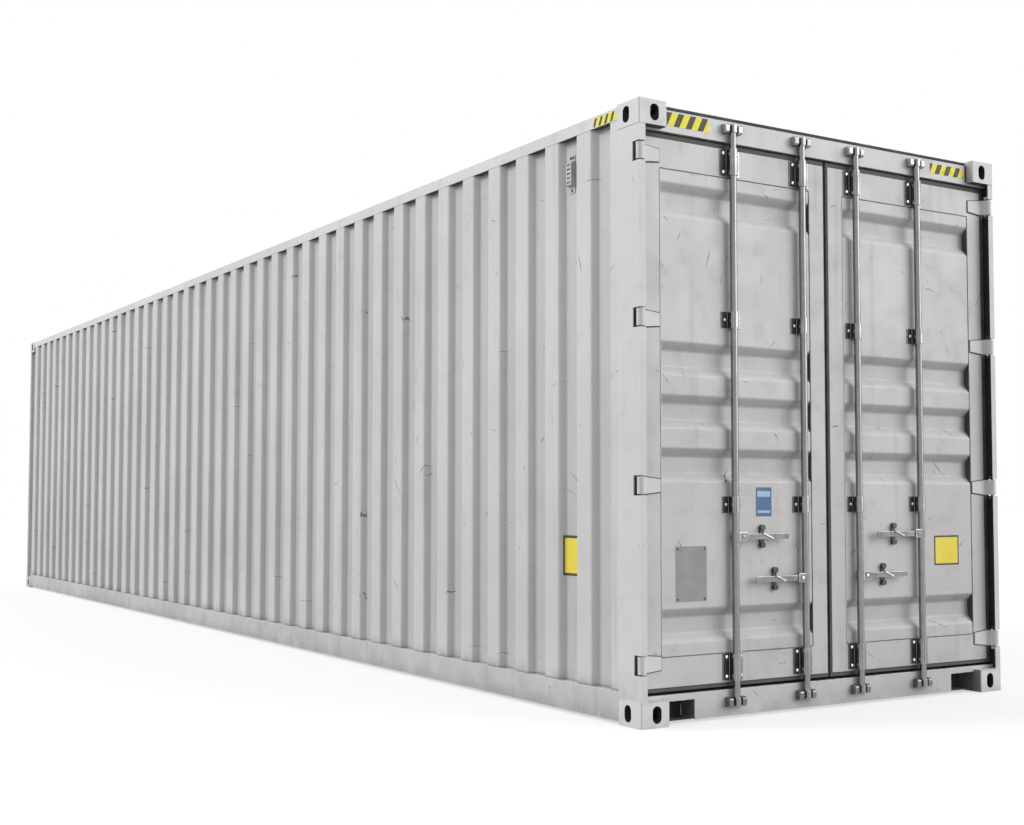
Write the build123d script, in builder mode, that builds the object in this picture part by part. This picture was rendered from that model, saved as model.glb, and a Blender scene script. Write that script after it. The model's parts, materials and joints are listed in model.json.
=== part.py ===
from build123d import *
import os

# A forty-foot high-cube shipping container with two hinged doors and four locking bars.
# Millimetres. The long side runs along Y and the doors close the end at -Y.
# Left and right are named as seen by someone who faces the doors.

# Overall size
length = 12192.0
width = 2438.0
height = 2896.0

# Corner castings
casting_length = 178.0
casting_width = 162.0
casting_height = 118.0
casting_outer_wall = 28.0
casting_inner_wall = 16.0
casting_edge = 4.0
slot_inset_x = 89.5
slot_inset_y = 103.5
top_slot_length = 124.0
top_slot_width = 63.5
side_slot_height = 79.5
side_slot_width = 51.0
side_slot_inset = 59.0

# Set-back of the steelwork behind the outer faces of the castings
frame_setback = 2.0
wall_setback = 4.0
top_setback = 8.0
ground_clearance = 13.0

# Bottom and top side rails
bottom_rail_height = 137.0
bottom_rail_flange = 48.0
bottom_rail_steel = 4.5
top_rail_size = 60.0
top_rail_steel = 3.0

# Corrugated side walls
wall_steel = 2.0
wall_pitch_aim = 286.0
wall_recess_depth = 36.0
wall_recess_slope = 30.0
wall_recess_floor = 105.0
wall_first_recess = 60.0
wall_last_recess = 54.0

# Corrugated front wall
front_pitch = 248.0
front_recess_depth = 45.0
front_recess_slope = 28.0
front_recess_floor = 100.0
front_wall_flat = 100.0

# Rear corner posts
post_steel = 6.0
post_leg_width = 36.0
jamb_inner_x = 115.0
jamb_setback = 111.0
jamb_steel = 8.0
lug_thickness = 14.0
lug_reach = 31.0

# Front corner posts
front_post_leg = 50.0
front_post_step = 36.0
front_post_width = 99.0
front_post_return = 54.0

# Door header, door sill and front end rails
end_setback = 46.0
header_bottom_drop = 128.0
header_top_drop = 23.0
header_depth = 90.0
header_steel = 5.0
edge_strip_height = 21.0
edge_strip_setback = 10.0
edge_strip_depth = 45.0
sill_top = 137.0
sill_depth = 118.0
sill_steel = 6.0
sill_notch_width = 182.0
sill_notch_height = 92.0
front_rail_depth = 60.0
front_rail_steel = 4.0
end_plate_steel = 4.0

# Roof
roof_steel = 2.0
roof_rib_height = 20.0
roof_rib_width = 110.0
roof_rib_pitch = 209.0
roof_edge_flat = 62.0
roof_end_flat = 130.0

# Floor
floor_thickness = 28.0
floor_gap = 3.0
cross_member_height = 122.0
cross_member_flange = 45.0
cross_member_steel = 4.0
cross_member_pitch = 305.0

# Door leaves
leaf_setback = 53.0
leaf_depth = 50.0
leaf_outer_gap = 52.0
leaf_centre_gap = 17.0
leaf_bottom_gap = 32.0
leaf_top_gap = 33.0
outer_stile = 106.0
inner_stile = 99.0
door_rail = 140.0
stile_steel = 4.0
door_rail_steel = 4.0
panel_steel = 3.0
groove_height = 156.0
groove_slope = 40.0
groove_depth = 36.0
groove_pitch = 250.0
groove_bottom_inset = 140.0
groove_top_inset = 141.0
groove_middle_drop = 1.5

# Door gasket
gasket_top_reach = 25.0
gasket_bottom_reach = 21.0
gasket_centre_reach = 11.0
gasket_post_gap = 8.0
gasket_front_gap = 6.0
gasket_depth = 40.0

# Hinges, whose middle levels are shares of the leaf's height
pin_inset_x = 21.0
pin_inset_y = 21.0
pin_radius = 9.0
pin_clearance = 0.5
knuckle_radius = 20.0
knuckle_sides = 16
hinge_height = 80.0
hinge_tip_height = 60.0
hinge_bottom_inset = 114.0
hinge_top_inset = 84.0
hinge_middle_shares = (0.3636, 0.6652)
blade_reach = 130.0
blade_thickness = 7.0
blade_bend_reach = 27.0
blade_bend_back = 4.0
blade_foot_reach = 36.0
blade_foot_rise = 3.0
notch_clearance = 6.0
notch_depth = 57.0

# Locking bars
bar_radius = 17.5
bar_setback = 24.0
bar_end_reach = 21.5
inner_bar_inset = 170.0
outer_bar_inset = 530.0
cam_height = 38.0
cam_radius = 22.0
cam_width = 30.0
cam_corner = 7.0
bottom_cam_inset = 58.0
top_cam_inset = 63.0

# Cam keepers on the header and the sill
keeper_gap = 5.5
keeper_width = 26.0
keeper_height = 46.0
keeper_depth = 36.0
keeper_corner = 9.0

# Bearing brackets of the bars
bracket_steel = 4.5
saddle_sides = 12
bracket_clearance = 0.4
long_bracket_height = 130.0
short_bracket_height = 80.0
long_bracket_flange = 40.0
short_bracket_flange = 36.0
long_bracket_bottom_inset = 75.0
long_bracket_top_inset = 67.0
short_bracket_shares = (0.3289, 0.675)

# Handles and their catches
upper_handle_level = 859.0
lower_handle_level = 652.0
handle_length = 332.0
handle_height = 28.0
handle_thickness = 8.0
handle_corner = 6.0
handle_root_gap = 2.0
hub_radius = 20.0
hub_sides = 12
hub_height = 46.0
hub_cheek_length = 42.0
hub_cheek_thickness = 7.0
rivet_radius = 7.0
rivet_offset = 30.0
rivet_clearance = 0.3
catch_stem = 20.0
catch_width = 24.0
catch_plate = 9.0
catch_height = 84.0
catch_knob_radius = 15.0
catch_knob_depth = 20.0
catch_knob_sides = 12
catch_gap = 5.0
catch_offset = 185.0
handle_gap = 6.0

# Ventilators
vent_width = 46.0
vent_plate_height = 192.0
vent_plate_steel = 4.0
vent_hood_height = 136.0
vent_hood_depth = 27.0
vent_hood_slope = 12.0
vent_slat_count = 5
vent_slat_pitch = 22.0
vent_slat_width = 30.0
vent_slat_height = 10.0
vent_slat_depth = 8.0
vent_top_drop = 240.0

# Worked out from the sizes above
half_width = width / 2
half_length = length / 2
door_y = -half_length
front_y = half_length
frame_x = half_width - frame_setback
wall_x = half_width - wall_setback
frame_front_y = door_y + frame_setback
frame_end_y = front_y - frame_setback
rail_end_y = half_length - casting_length
casting_inner_x = half_width - casting_width
post_bottom = casting_height
post_top = height - casting_height
bottom_rail_top = ground_clearance + bottom_rail_height
frame_top = height - top_setback
top_rail_bottom = frame_top - top_rail_size
end_face_y = door_y + end_setback
jamb_face_y = door_y + jamb_setback
jamb_x = half_width - jamb_inner_x
leaf_front_y = door_y + leaf_setback
leaf_back_y = leaf_front_y + leaf_depth
leaf_outer_x = half_width - leaf_outer_gap
header_bottom = height - header_bottom_drop
header_top = height - header_top_drop
leaf_bottom = sill_top + leaf_bottom_gap
leaf_top = header_bottom - leaf_top_gap
leaf_height = leaf_top - leaf_bottom
panel_bottom = leaf_bottom + door_rail
panel_top = leaf_top - door_rail
groove_middle = (panel_bottom + panel_top) / 2 - groove_middle_drop
groove_centres = (
    panel_bottom + groove_bottom_inset,
    groove_middle - groove_pitch,
    groove_middle,
    groove_middle + groove_pitch,
    panel_top - groove_top_inset,
)
hinge_levels = (
    leaf_bottom + hinge_bottom_inset,
    *(leaf_bottom + share * leaf_height for share in hinge_middle_shares),
    leaf_top - hinge_top_inset,
)
long_bracket_levels = (
    leaf_bottom + long_bracket_bottom_inset,
    leaf_top - long_bracket_top_inset,
)
short_bracket_levels = [leaf_bottom + share * leaf_height for share in short_bracket_shares]
pin_x = half_width - pin_inset_x
pin_y = door_y + pin_inset_y
bar_y = door_y + bar_setback
inner_bar_x = leaf_centre_gap + inner_bar_inset
outer_bar_x = leaf_outer_x - outer_bar_inset
bottom_cam_level = sill_top - bottom_cam_inset
top_cam_level = header_bottom + top_cam_inset
bar_bottom = bottom_cam_level - bar_end_reach
bar_top = top_cam_level + bar_end_reach
roof_base = frame_top - roof_rib_height - roof_steel
floor_bottom = ground_clearance + bottom_rail_steel + cross_member_height
floor_top = floor_bottom + floor_thickness
front_rail_back_y = frame_end_y - front_rail_depth
front_rail_mid_y = frame_end_y - front_rail_depth / 2
wall_run = 2 * rail_end_y - wall_first_recess - wall_last_recess
wall_recess_count = round(wall_run / wall_pitch_aim)
wall_pitch = wall_run / wall_recess_count
vent_level = height - vent_top_drop
sides = {"left": -1, "right": 1}

os.makedirs("parts", exist_ok=True)


# Corner castings: hollow steel boxes with a slot in each outer face
def make_casting(side_x, side_y, top):
    centre_x = side_x * (half_width - casting_width / 2)
    centre_y = side_y * (half_length - casting_length / 2)
    base_z = post_top if top else 0.0
    inner_x = casting_width - casting_outer_wall - casting_inner_wall
    inner_y = casting_length - casting_outer_wall - casting_inner_wall
    inner_z = casting_height - casting_outer_wall - casting_inner_wall
    cavity_z = base_z + (casting_inner_wall if top else casting_outer_wall)
    shift = (casting_outer_wall - casting_inner_wall) / 2
    slot_x = side_x * (half_width - slot_inset_x)
    slot_y = side_y * (half_length - slot_inset_y)
    slot_z = base_z + (casting_height - side_slot_inset if top else side_slot_inset)
    face_z = base_z + (casting_height if top else 0.0)
    with BuildPart() as casting:
        with BuildSketch(Plane.XY.offset(base_z)):
            with Locations((centre_x, centre_y)):
                Rectangle(casting_width, casting_length)
        extrude(amount=casting_height)
        chamfer(casting.edges().filter_by(Axis.Z), casting_edge)
        with BuildSketch(Plane.XY.offset(cavity_z)):
            with Locations((centre_x - side_x * shift, centre_y - side_y * shift)):
                Rectangle(inner_x, inner_y)
        extrude(amount=inner_z, mode=Mode.SUBTRACT)
        with BuildSketch(Plane.XY.offset(face_z)):
            with Locations((slot_x, slot_y)):
                SlotOverall(top_slot_length, top_slot_width, rotation=90)
        extrude(amount=(-1 if top else 1) * (casting_outer_wall + 1), mode=Mode.SUBTRACT)
        with BuildSketch(Plane.XZ.offset(-side_y * half_length)):
            with Locations((slot_x, slot_z)):
                SlotOverall(side_slot_height, side_slot_width, rotation=90)
        extrude(amount=side_y * (casting_outer_wall + 1), mode=Mode.SUBTRACT)
        with BuildSketch(Plane.YZ.offset(side_x * half_width)):
            with Locations((slot_y, slot_z)):
                SlotOverall(side_slot_height, side_slot_width, rotation=90)
        extrude(amount=-side_x * (casting_outer_wall + 1), mode=Mode.SUBTRACT)
    return casting.part


for side_name, side in sides.items():
    for end_name, end in (("rear", -1), ("front", 1)):
        for level_name, is_top in (("bottom", False), ("top", True)):
            node = f"corner_casting_{end_name}_{level_name}_{side_name}"
            casting_solid = make_casting(side, end, is_top)
            casting_solid.label = node
            export_step(casting_solid, f"parts/{node}.step")


# Rear corner posts: a pressed outer angle and a box jamb behind the door's edge,
# with notches for the hinge knuckles, lugs above and below each and the pins in them
def make_rear_post(side):
    def x(value):
        return side * value

    web_mid = frame_x - post_steel / 2
    side_mid_y = (frame_front_y - rail_end_y) / 2
    side_len = -rail_end_y - frame_front_y
    jamb_mid_x = (jamb_x + frame_x) / 2
    jamb_mid_y = (jamb_face_y - rail_end_y) / 2
    jamb_size_x = frame_x - jamb_x
    jamb_size_y = -rail_end_y - jamb_face_y
    leg_mid = frame_x - post_leg_width / 2
    lug_back_y = frame_front_y + lug_reach
    lug_mid_x = frame_x - post_leg_width / 2
    with BuildPart() as post:
        with BuildSketch(Plane.XY.offset(post_bottom)):
            with Locations((x(web_mid), side_mid_y)):
                Rectangle(post_steel, side_len)
            with Locations((x(leg_mid), frame_front_y + post_steel / 2)):
                Rectangle(post_leg_width, post_steel)
            with Locations((x(jamb_mid_x), jamb_mid_y)):
                Rectangle(jamb_size_x, jamb_size_y)
                Rectangle(
                    jamb_size_x - 2 * jamb_steel,
                    jamb_size_y - 2 * jamb_steel,
                    mode=Mode.SUBTRACT,
                )
        extrude(amount=post_top - post_bottom)
        for level in hinge_levels:
            notch_low = level - hinge_height / 2 - notch_clearance
            notch_tall = hinge_height + 2 * notch_clearance
            with BuildSketch(Plane.XY.offset(notch_low)):
                with Locations((x(leg_mid), door_y + notch_depth / 2)):
                    Rectangle(post_leg_width + 2, notch_depth)
            extrude(amount=notch_tall, mode=Mode.SUBTRACT)
            for lug_low in (notch_low - lug_thickness, notch_low + notch_tall):
                with BuildSketch(Plane.XY.offset(lug_low)):
                    with Locations((x(lug_mid_x), (frame_front_y + lug_back_y) / 2)):
                        Rectangle(post_leg_width, lug_reach)
                extrude(amount=lug_thickness)
            with BuildSketch(Plane.XY.offset(notch_low - lug_thickness)):
                with Locations((x(pin_x), pin_y)):
                    Circle(pin_radius)
            extrude(amount=notch_tall + 2 * lug_thickness)
    return post.part


for side_name, side in sides.items():
    rear_post = make_rear_post(side)
    rear_post.label = f"rear_corner_post_{side_name}"
    export_step(rear_post, f"parts/rear_corner_post_{side_name}.step")


# Front corner posts: one pressed section, stepped in where the side wall is welded to it
def make_front_post(side):
    step_x = frame_x - front_post_step
    inner_x = frame_x - front_post_width
    leg_back_y = frame_end_y - front_post_leg
    return_y = frame_end_y - front_post_return
    steel = post_steel
    with BuildPart() as post:
        with BuildSketch(Plane.XY.offset(post_bottom)):
            with BuildLine():
                Polyline(
                    (side * step_x, rail_end_y),
                    (side * step_x, leg_back_y),
                    (side * frame_x, leg_back_y),
                    (side * frame_x, frame_end_y),
                    (side * inner_x, frame_end_y),
                    (side * inner_x, return_y),
                    (side * (inner_x + steel), return_y),
                    (side * (inner_x + steel), frame_end_y - steel),
                    (side * (frame_x - steel), frame_end_y - steel),
                    (side * (frame_x - steel), leg_back_y + steel),
                    (side * (step_x - steel), leg_back_y + steel),
                    (side * (step_x - steel), rail_end_y),
                    close=True,
                )
            make_face()
        extrude(amount=post_top - post_bottom)
    return post.part


for side_name, side in sides.items():
    front_post = make_front_post(side)
    front_post.label = f"front_corner_post_{side_name}"
    export_step(front_post, f"parts/front_corner_post_{side_name}.step")


# Side rails: a channel at the bottom and a square tube at the top
def make_bottom_rail(side):
    web_mid = frame_x - bottom_rail_steel / 2
    flange_mid = frame_x - bottom_rail_flange / 2
    with BuildPart() as rail:
        with BuildSketch(Plane.XZ.offset(rail_end_y)):
            with Locations((side * web_mid, ground_clearance + bottom_rail_height / 2)):
                Rectangle(bottom_rail_steel, bottom_rail_height)
            for flange_z in (
                ground_clearance + bottom_rail_steel / 2,
                bottom_rail_top - bottom_rail_steel / 2,
            ):
                with Locations((side * flange_mid, flange_z)):
                    Rectangle(bottom_rail_flange, bottom_rail_steel)
        extrude(amount=-2 * rail_end_y)
    return rail.part


def make_top_rail(side):
    middle = (side * (frame_x - top_rail_size / 2), frame_top - top_rail_size / 2)
    bore = top_rail_size - 2 * top_rail_steel
    with BuildPart() as rail:
        with BuildSketch(Plane.XZ.offset(rail_end_y)):
            with Locations(middle):
                Rectangle(top_rail_size, top_rail_size)
                Rectangle(bore, bore, mode=Mode.SUBTRACT)
        extrude(amount=-2 * rail_end_y)
    return rail.part


for side_name, side in sides.items():
    bottom_rail = make_bottom_rail(side)
    bottom_rail.label = f"bottom_side_rail_{side_name}"
    export_step(bottom_rail, f"parts/bottom_side_rail_{side_name}.step")
    top_rail = make_top_rail(side)
    top_rail.label = f"top_side_rail_{side_name}"
    export_step(top_rail, f"parts/top_side_rail_{side_name}.step")


# Corrugated sheets: the outline is walked once along the outer face and back along the inner
def corrugation(first, count, pitch, slope, floor, depth):
    points = []
    for number in range(count):
        start = first + number * pitch
        points += [
            (start, 0.0),
            (start + slope, depth),
            (start + slope + floor, depth),
            (start + 2 * slope + floor, 0.0),
        ]
    return points


def make_side_wall(side):
    start_y = -rail_end_y
    end_y = rail_end_y
    path = [(start_y, 0.0)]
    path += corrugation(
        start_y + wall_first_recess,
        wall_recess_count,
        wall_pitch,
        wall_recess_slope,
        wall_recess_floor,
        wall_recess_depth,
    )
    last_start = start_y + wall_first_recess + wall_recess_count * wall_pitch
    path += [(last_start, 0.0), (last_start + wall_recess_slope, wall_recess_depth)]
    path += [(end_y, wall_recess_depth)]
    outer = [(side * (wall_x - depth), y) for y, depth in path]
    inner = [(side * (wall_x - depth - wall_steel), y) for y, depth in reversed(path)]
    with BuildPart() as wall:
        with BuildSketch(Plane.XY.offset(bottom_rail_top)):
            with BuildLine():
                Polyline(*outer, *inner, close=True)
            make_face()
        extrude(amount=top_rail_bottom - bottom_rail_top)
    return wall.part


for side_name, side in sides.items():
    side_wall = make_side_wall(side)
    side_wall.label = f"side_wall_{side_name}"
    export_step(side_wall, f"parts/side_wall_{side_name}.step")

# Front wall: the same kind of sheet across the closed end
front_wall_x = frame_x - front_post_width
front_recess_count = int(2 * (front_wall_x - front_wall_flat) / front_pitch)
front_wall_first = -(
    (front_recess_count - 1) * front_pitch + 2 * front_recess_slope + front_recess_floor
) / 2
front_wall_y = frame_end_y - wall_steel
front_path = [(-front_wall_x, 0.0)]
front_path += corrugation(
    front_wall_first,
    front_recess_count,
    front_pitch,
    front_recess_slope,
    front_recess_floor,
    front_recess_depth,
)
front_path += [(front_wall_x, 0.0)]
with BuildPart() as front_wall:
    with BuildSketch(Plane.XY.offset(bottom_rail_top)):
        with BuildLine():
            Polyline(
                *[(x, front_wall_y - depth) for x, depth in front_path],
                *[(x, front_wall_y - depth - wall_steel) for x, depth in reversed(front_path)],
                close=True,
            )
        make_face()
    extrude(amount=post_top - bottom_rail_top)
front_wall.part.label = "front_wall"
export_step(front_wall.part, "parts/front_wall.step")

# Front end rails, between the castings
with BuildPart() as front_top_rail:
    with BuildSketch(Plane.YZ.offset(-casting_inner_x)):
        with Locations((front_rail_mid_y, (post_top + frame_top) / 2)):
            Rectangle(front_rail_depth, frame_top - post_top)
            Rectangle(
                front_rail_depth - 2 * front_rail_steel,
                frame_top - post_top - 2 * front_rail_steel,
                mode=Mode.SUBTRACT,
            )
        with Locations(((rail_end_y + front_rail_back_y) / 2, roof_base + roof_steel / 2)):
            Rectangle(front_rail_back_y - rail_end_y, end_plate_steel)
    extrude(amount=2 * casting_inner_x)
front_top_rail.part.label = "front_top_rail"
export_step(front_top_rail.part, "parts/front_top_rail.step")

with BuildPart() as front_bottom_rail:
    with BuildSketch(Plane.YZ.offset(-casting_inner_x)):
        with Locations((front_rail_mid_y, ground_clearance + bottom_rail_height / 2)):
            Rectangle(front_rail_depth, bottom_rail_height)
            Rectangle(
                front_rail_depth - 2 * front_rail_steel,
                bottom_rail_height - 2 * front_rail_steel,
                mode=Mode.SUBTRACT,
            )
    extrude(amount=2 * casting_inner_x)
    for side in sides.values():
        with BuildSketch(Plane.XY.offset(post_bottom)):
            with Locations((side * (casting_inner_x + front_wall_x) / 2, front_rail_mid_y)):
                Rectangle(front_wall_x - casting_inner_x, front_rail_depth)
        extrude(amount=bottom_rail_top - post_bottom)
front_bottom_rail.part.label = "front_bottom_rail"
export_step(front_bottom_rail.part, "parts/front_bottom_rail.step")


# Strip that carries the header and the sill past the castings, as far as the post
def end_strip(side, back_y):
    web_x = frame_x - post_steel
    with Locations((side * (casting_inner_x + web_x) / 2, (end_face_y + jamb_face_y) / 2)):
        Rectangle(web_x - casting_inner_x, jamb_face_y - end_face_y)
    with Locations((side * (casting_inner_x + jamb_x) / 2, (jamb_face_y + back_y) / 2)):
        Rectangle(jamb_x - casting_inner_x, back_y - jamb_face_y)


# Door header: a box over the doors, with a recessed edge strip under the roof's end plate
header_back_y = end_face_y + header_depth
edge_strip_y = end_face_y + edge_strip_setback + edge_strip_depth / 2
with BuildPart() as door_header:
    with BuildSketch(Plane.YZ.offset(-casting_inner_x)):
        with Locations(((end_face_y + header_back_y) / 2, (header_bottom + header_top) / 2)):
            Rectangle(header_depth, header_top - header_bottom)
            Rectangle(
                header_depth - 2 * header_steel,
                header_top - header_bottom - 2 * header_steel,
                mode=Mode.SUBTRACT,
            )
        with Locations((edge_strip_y, header_top + edge_strip_height / 2)):
            Rectangle(edge_strip_depth, edge_strip_height)
        with Locations(((header_back_y - rail_end_y) / 2, roof_base + roof_steel / 2)):
            Rectangle(-rail_end_y - header_back_y, end_plate_steel)
    extrude(amount=2 * casting_inner_x)
    for side in sides.values():
        with BuildSketch(Plane.XY.offset(header_bottom)):
            end_strip(side, header_back_y)
        extrude(amount=post_top - header_bottom)
door_header.part.label = "door_header"
export_step(door_header.part, "parts/door_header.step")

# Door sill: a channel under the doors, cut away beside the castings
sill_back_y = end_face_y + sill_depth
with BuildPart() as door_sill:
    with BuildSketch(Plane.YZ.offset(-casting_inner_x)):
        with Locations((end_face_y + sill_steel / 2, (ground_clearance + sill_top) / 2)):
            Rectangle(sill_steel, sill_top - ground_clearance)
        for plate_z in (sill_top - sill_steel / 2, ground_clearance + sill_steel / 2):
            with Locations(((end_face_y + sill_back_y) / 2, plate_z)):
                Rectangle(sill_depth, sill_steel)
    extrude(amount=2 * casting_inner_x)
    for side in sides.values():
        with BuildSketch(Plane.XY.offset(ground_clearance - 1)):
            with Locations(
                (side * (casting_inner_x - sill_notch_width / 2 + 1), (end_face_y + sill_back_y) / 2)
            ):
                Rectangle(sill_notch_width + 2, sill_depth + 2)
        extrude(amount=sill_notch_height + 1, mode=Mode.SUBTRACT)
        with BuildSketch(Plane.XY.offset(post_bottom)):
            end_strip(side, sill_back_y)
        extrude(amount=sill_top - post_bottom)
door_sill.part.label = "door_sill"
export_step(door_sill.part, "parts/door_sill.step")

# Roof: one sheet with a row of pressed cross ribs
roof_half_x = frame_x - top_rail_size
roof_rib_length = 2 * (roof_half_x - roof_edge_flat)
roof_rib_count = int(2 * (rail_end_y - roof_end_flat) / roof_rib_pitch)
with BuildPart() as roof_panel:
    with BuildSketch(Plane.XY.offset(roof_base)):
        Rectangle(2 * roof_half_x, 2 * rail_end_y)
    extrude(amount=roof_steel)
    with BuildSketch(Plane.XY.offset(roof_base + roof_steel)):
        with GridLocations(0, roof_rib_pitch, 1, roof_rib_count):
            Rectangle(roof_rib_length, roof_rib_width)
    extrude(amount=roof_rib_height, taper=45)
    with BuildSketch(Plane.XY.offset(roof_base)):
        with GridLocations(0, roof_rib_pitch, 1, roof_rib_count):
            Rectangle(roof_rib_length, roof_rib_width)
    extrude(amount=roof_rib_height, taper=45, mode=Mode.SUBTRACT)
roof_panel.part.label = "roof_panel"
export_step(roof_panel.part, "parts/roof_panel.step")

# Floor boards, carried by the cross members
floor_half_x = frame_x - bottom_rail_flange - floor_gap
floor_back_y = -rail_end_y + floor_gap
floor_front_y = front_rail_back_y - floor_gap
with BuildPart() as floor_boards:
    with BuildSketch(Plane.XY.offset(floor_bottom)):
        with Locations((0, (floor_back_y + floor_front_y) / 2)):
            Rectangle(2 * floor_half_x, floor_front_y - floor_back_y)
    extrude(amount=floor_thickness)
floor_boards.part.label = "floor_boards"
export_step(floor_boards.part, "parts/floor_boards.step")

# Cross members: channels from side rail to side rail under the floor
cross_half_x = frame_x - bottom_rail_steel
cross_member_count = int(2 * rail_end_y / cross_member_pitch)
with BuildPart() as cross_members:
    with BuildSketch(Plane.YZ.offset(-cross_half_x)):
        with GridLocations(cross_member_pitch, 0, cross_member_count, 1):
            with Locations((0, floor_bottom - cross_member_height / 2)):
                Rectangle(cross_member_flange, cross_member_height)
            with Locations((cross_member_steel, floor_bottom - cross_member_height / 2)):
                Rectangle(
                    cross_member_flange,
                    cross_member_height - 2 * cross_member_steel,
                    mode=Mode.SUBTRACT,
                )
    extrude(amount=2 * cross_half_x)
cross_members.part.label = "cross_members"
export_step(cross_members.part, "parts/cross_members.step")

# Ventilators: a louvred hood on a base plate, screwed to the floor of a wall recess
vent_recess_y = -rail_end_y + wall_first_recess + wall_pitch + wall_recess_slope + wall_recess_floor / 2
vent_seat_x = wall_x - wall_recess_depth
for side_name, side in sides.items():
    vent_y = vent_recess_y if side < 0 else vent_recess_y + (wall_recess_count - 3) * wall_pitch
    hood_top = vent_level + vent_hood_height / 2
    hood_bottom = vent_level - vent_hood_height / 2
    hood_seat_x = side * vent_seat_x
    hood_front_x = side * (vent_seat_x + vent_hood_depth)
    with BuildPart() as ventilator:
        with BuildSketch(Plane.YZ.offset(hood_seat_x)):
            with Locations((vent_y, vent_level)):
                Rectangle(vent_width, vent_plate_height)
        extrude(amount=side * vent_plate_steel)
        with BuildSketch(Plane.XZ.offset(-(vent_y - vent_width / 2))):
            with BuildLine():
                Polyline(
                    (hood_seat_x, hood_bottom),
                    (hood_front_x, hood_bottom + vent_hood_slope),
                    (hood_front_x, hood_top - vent_hood_slope),
                    (hood_seat_x, hood_top),
                    close=True,
                )
            make_face()
        extrude(amount=-vent_width)
        with BuildSketch(Plane.YZ.offset(hood_front_x)):
            with Locations((vent_y, vent_level)):
                with GridLocations(0, vent_slat_pitch, 1, vent_slat_count):
                    Rectangle(vent_slat_width, vent_slat_height)
        extrude(amount=-side * vent_slat_depth, mode=Mode.SUBTRACT)
    ventilator.part.label = f"ventilator_{side_name}"
    export_step(ventilator.part, f"parts/ventilator_{side_name}.step")

# Cam keepers: pairs of forged jaws, open to the front, on the header and on the sill
bar_places = [side * x for side in sides.values() for x in (outer_bar_x, inner_bar_x)]
for level_name, cam_level in (("top", top_cam_level), ("bottom", bottom_cam_level)):
    with BuildPart() as keepers:
        for bar_x in bar_places:
            for jaw in (-1, 1):
                jaw_x = bar_x + jaw * (cam_radius + keeper_gap + keeper_width / 2)
                with BuildSketch(Plane.XZ.offset(-end_face_y)):
                    with Locations((jaw_x, cam_level)):
                        Rectangle(keeper_width, keeper_height)
                extrude(amount=keeper_depth)
        front_edges = keepers.faces().group_by(Axis.Y)[0].edges().filter_by(Axis.X)
        chamfer(front_edges, keeper_corner)
    keepers.part.label = f"cam_keepers_{level_name}"
    export_step(keepers.part, f"parts/cam_keepers_{level_name}.step")


# Door leaf frame: tube stiles and channel rails, open to the inside
def make_door_frame(side):
    mid_z = (leaf_bottom + leaf_top) / 2
    tall = leaf_top - leaf_bottom
    leaf_width = leaf_outer_x - leaf_centre_gap
    leaf_mid_x = side * (leaf_outer_x + leaf_centre_gap) / 2
    opening_low_x = leaf_centre_gap + inner_stile
    opening_high_x = leaf_outer_x - outer_stile
    opening_width = opening_high_x - opening_low_x
    opening_mid_x = side * (opening_low_x + opening_high_x) / 2
    stile_bore = leaf_depth - 2 * stile_steel
    with BuildPart() as frame:
        with BuildSketch(Plane.XZ.offset(-leaf_front_y)):
            with Locations((leaf_mid_x, mid_z)):
                Rectangle(leaf_width, tall)
            with Locations((opening_mid_x, mid_z)):
                Rectangle(opening_width, tall - 2 * door_rail, mode=Mode.SUBTRACT)
        extrude(amount=-leaf_depth)
        stiles = (
            (leaf_outer_x - outer_stile / 2, outer_stile),
            (leaf_centre_gap + inner_stile / 2, inner_stile),
        )
        with BuildSketch(Plane.XY.offset(leaf_bottom)):
            for stile_x, stile_width in stiles:
                with Locations((side * stile_x, leaf_front_y + leaf_depth / 2)):
                    Rectangle(stile_width - 2 * stile_steel, stile_bore)
        extrude(amount=tall, mode=Mode.SUBTRACT)
        rail_middles = (leaf_bottom + door_rail / 2, leaf_top - door_rail / 2)
        with BuildSketch(Plane.XZ.offset(-(leaf_front_y + door_rail_steel))):
            for rail_z in rail_middles:
                with Locations((opening_mid_x, rail_z)):
                    Rectangle(opening_width, door_rail - 2 * door_rail_steel)
        extrude(amount=-leaf_depth, mode=Mode.SUBTRACT)
    return frame.part


# Door panel: one sheet with five pressed cross grooves, welded between the stiles
def make_door_panel(side):
    low_x = leaf_centre_gap + inner_stile
    high_x = leaf_outer_x - outer_stile
    path = [(panel_bottom, 0.0)]
    for groove_z in groove_centres:
        path += [
            (groove_z - groove_height / 2, 0.0),
            (groove_z - groove_height / 2 + groove_slope, groove_depth),
            (groove_z + groove_height / 2 - groove_slope, groove_depth),
            (groove_z + groove_height / 2, 0.0),
        ]
    path += [(panel_top, 0.0)]
    outer = [(leaf_front_y + depth, z) for z, depth in path]
    inner = [(leaf_front_y + depth + panel_steel, z) for z, depth in reversed(path)]
    with BuildPart() as panel:
        with BuildSketch(Plane.YZ.offset(side * low_x)):
            with BuildLine():
                Polyline(*outer, *inner, close=True)
            make_face()
        extrude(amount=side * (high_x - low_x))
    return panel.part


# Door gasket: a rubber strip round the edge of the leaf
def make_gasket(side):
    low_x = leaf_centre_gap - gasket_centre_reach
    high_x = frame_x - post_steel - gasket_post_gap
    low_z = leaf_bottom - gasket_bottom_reach
    high_z = leaf_top + gasket_top_reach
    with BuildPart() as gasket:
        with BuildSketch(Plane.XZ.offset(-(leaf_front_y + gasket_front_gap))):
            with Locations((side * (low_x + high_x) / 2, (low_z + high_z) / 2)):
                Rectangle(high_x - low_x, high_z - low_z)
            with Locations((side * (leaf_outer_x + leaf_centre_gap) / 2, (leaf_bottom + leaf_top) / 2)):
                Rectangle(
                    leaf_outer_x - leaf_centre_gap,
                    leaf_top - leaf_bottom,
                    mode=Mode.SUBTRACT,
                )
        extrude(amount=-gasket_depth)
    return gasket.part


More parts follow.
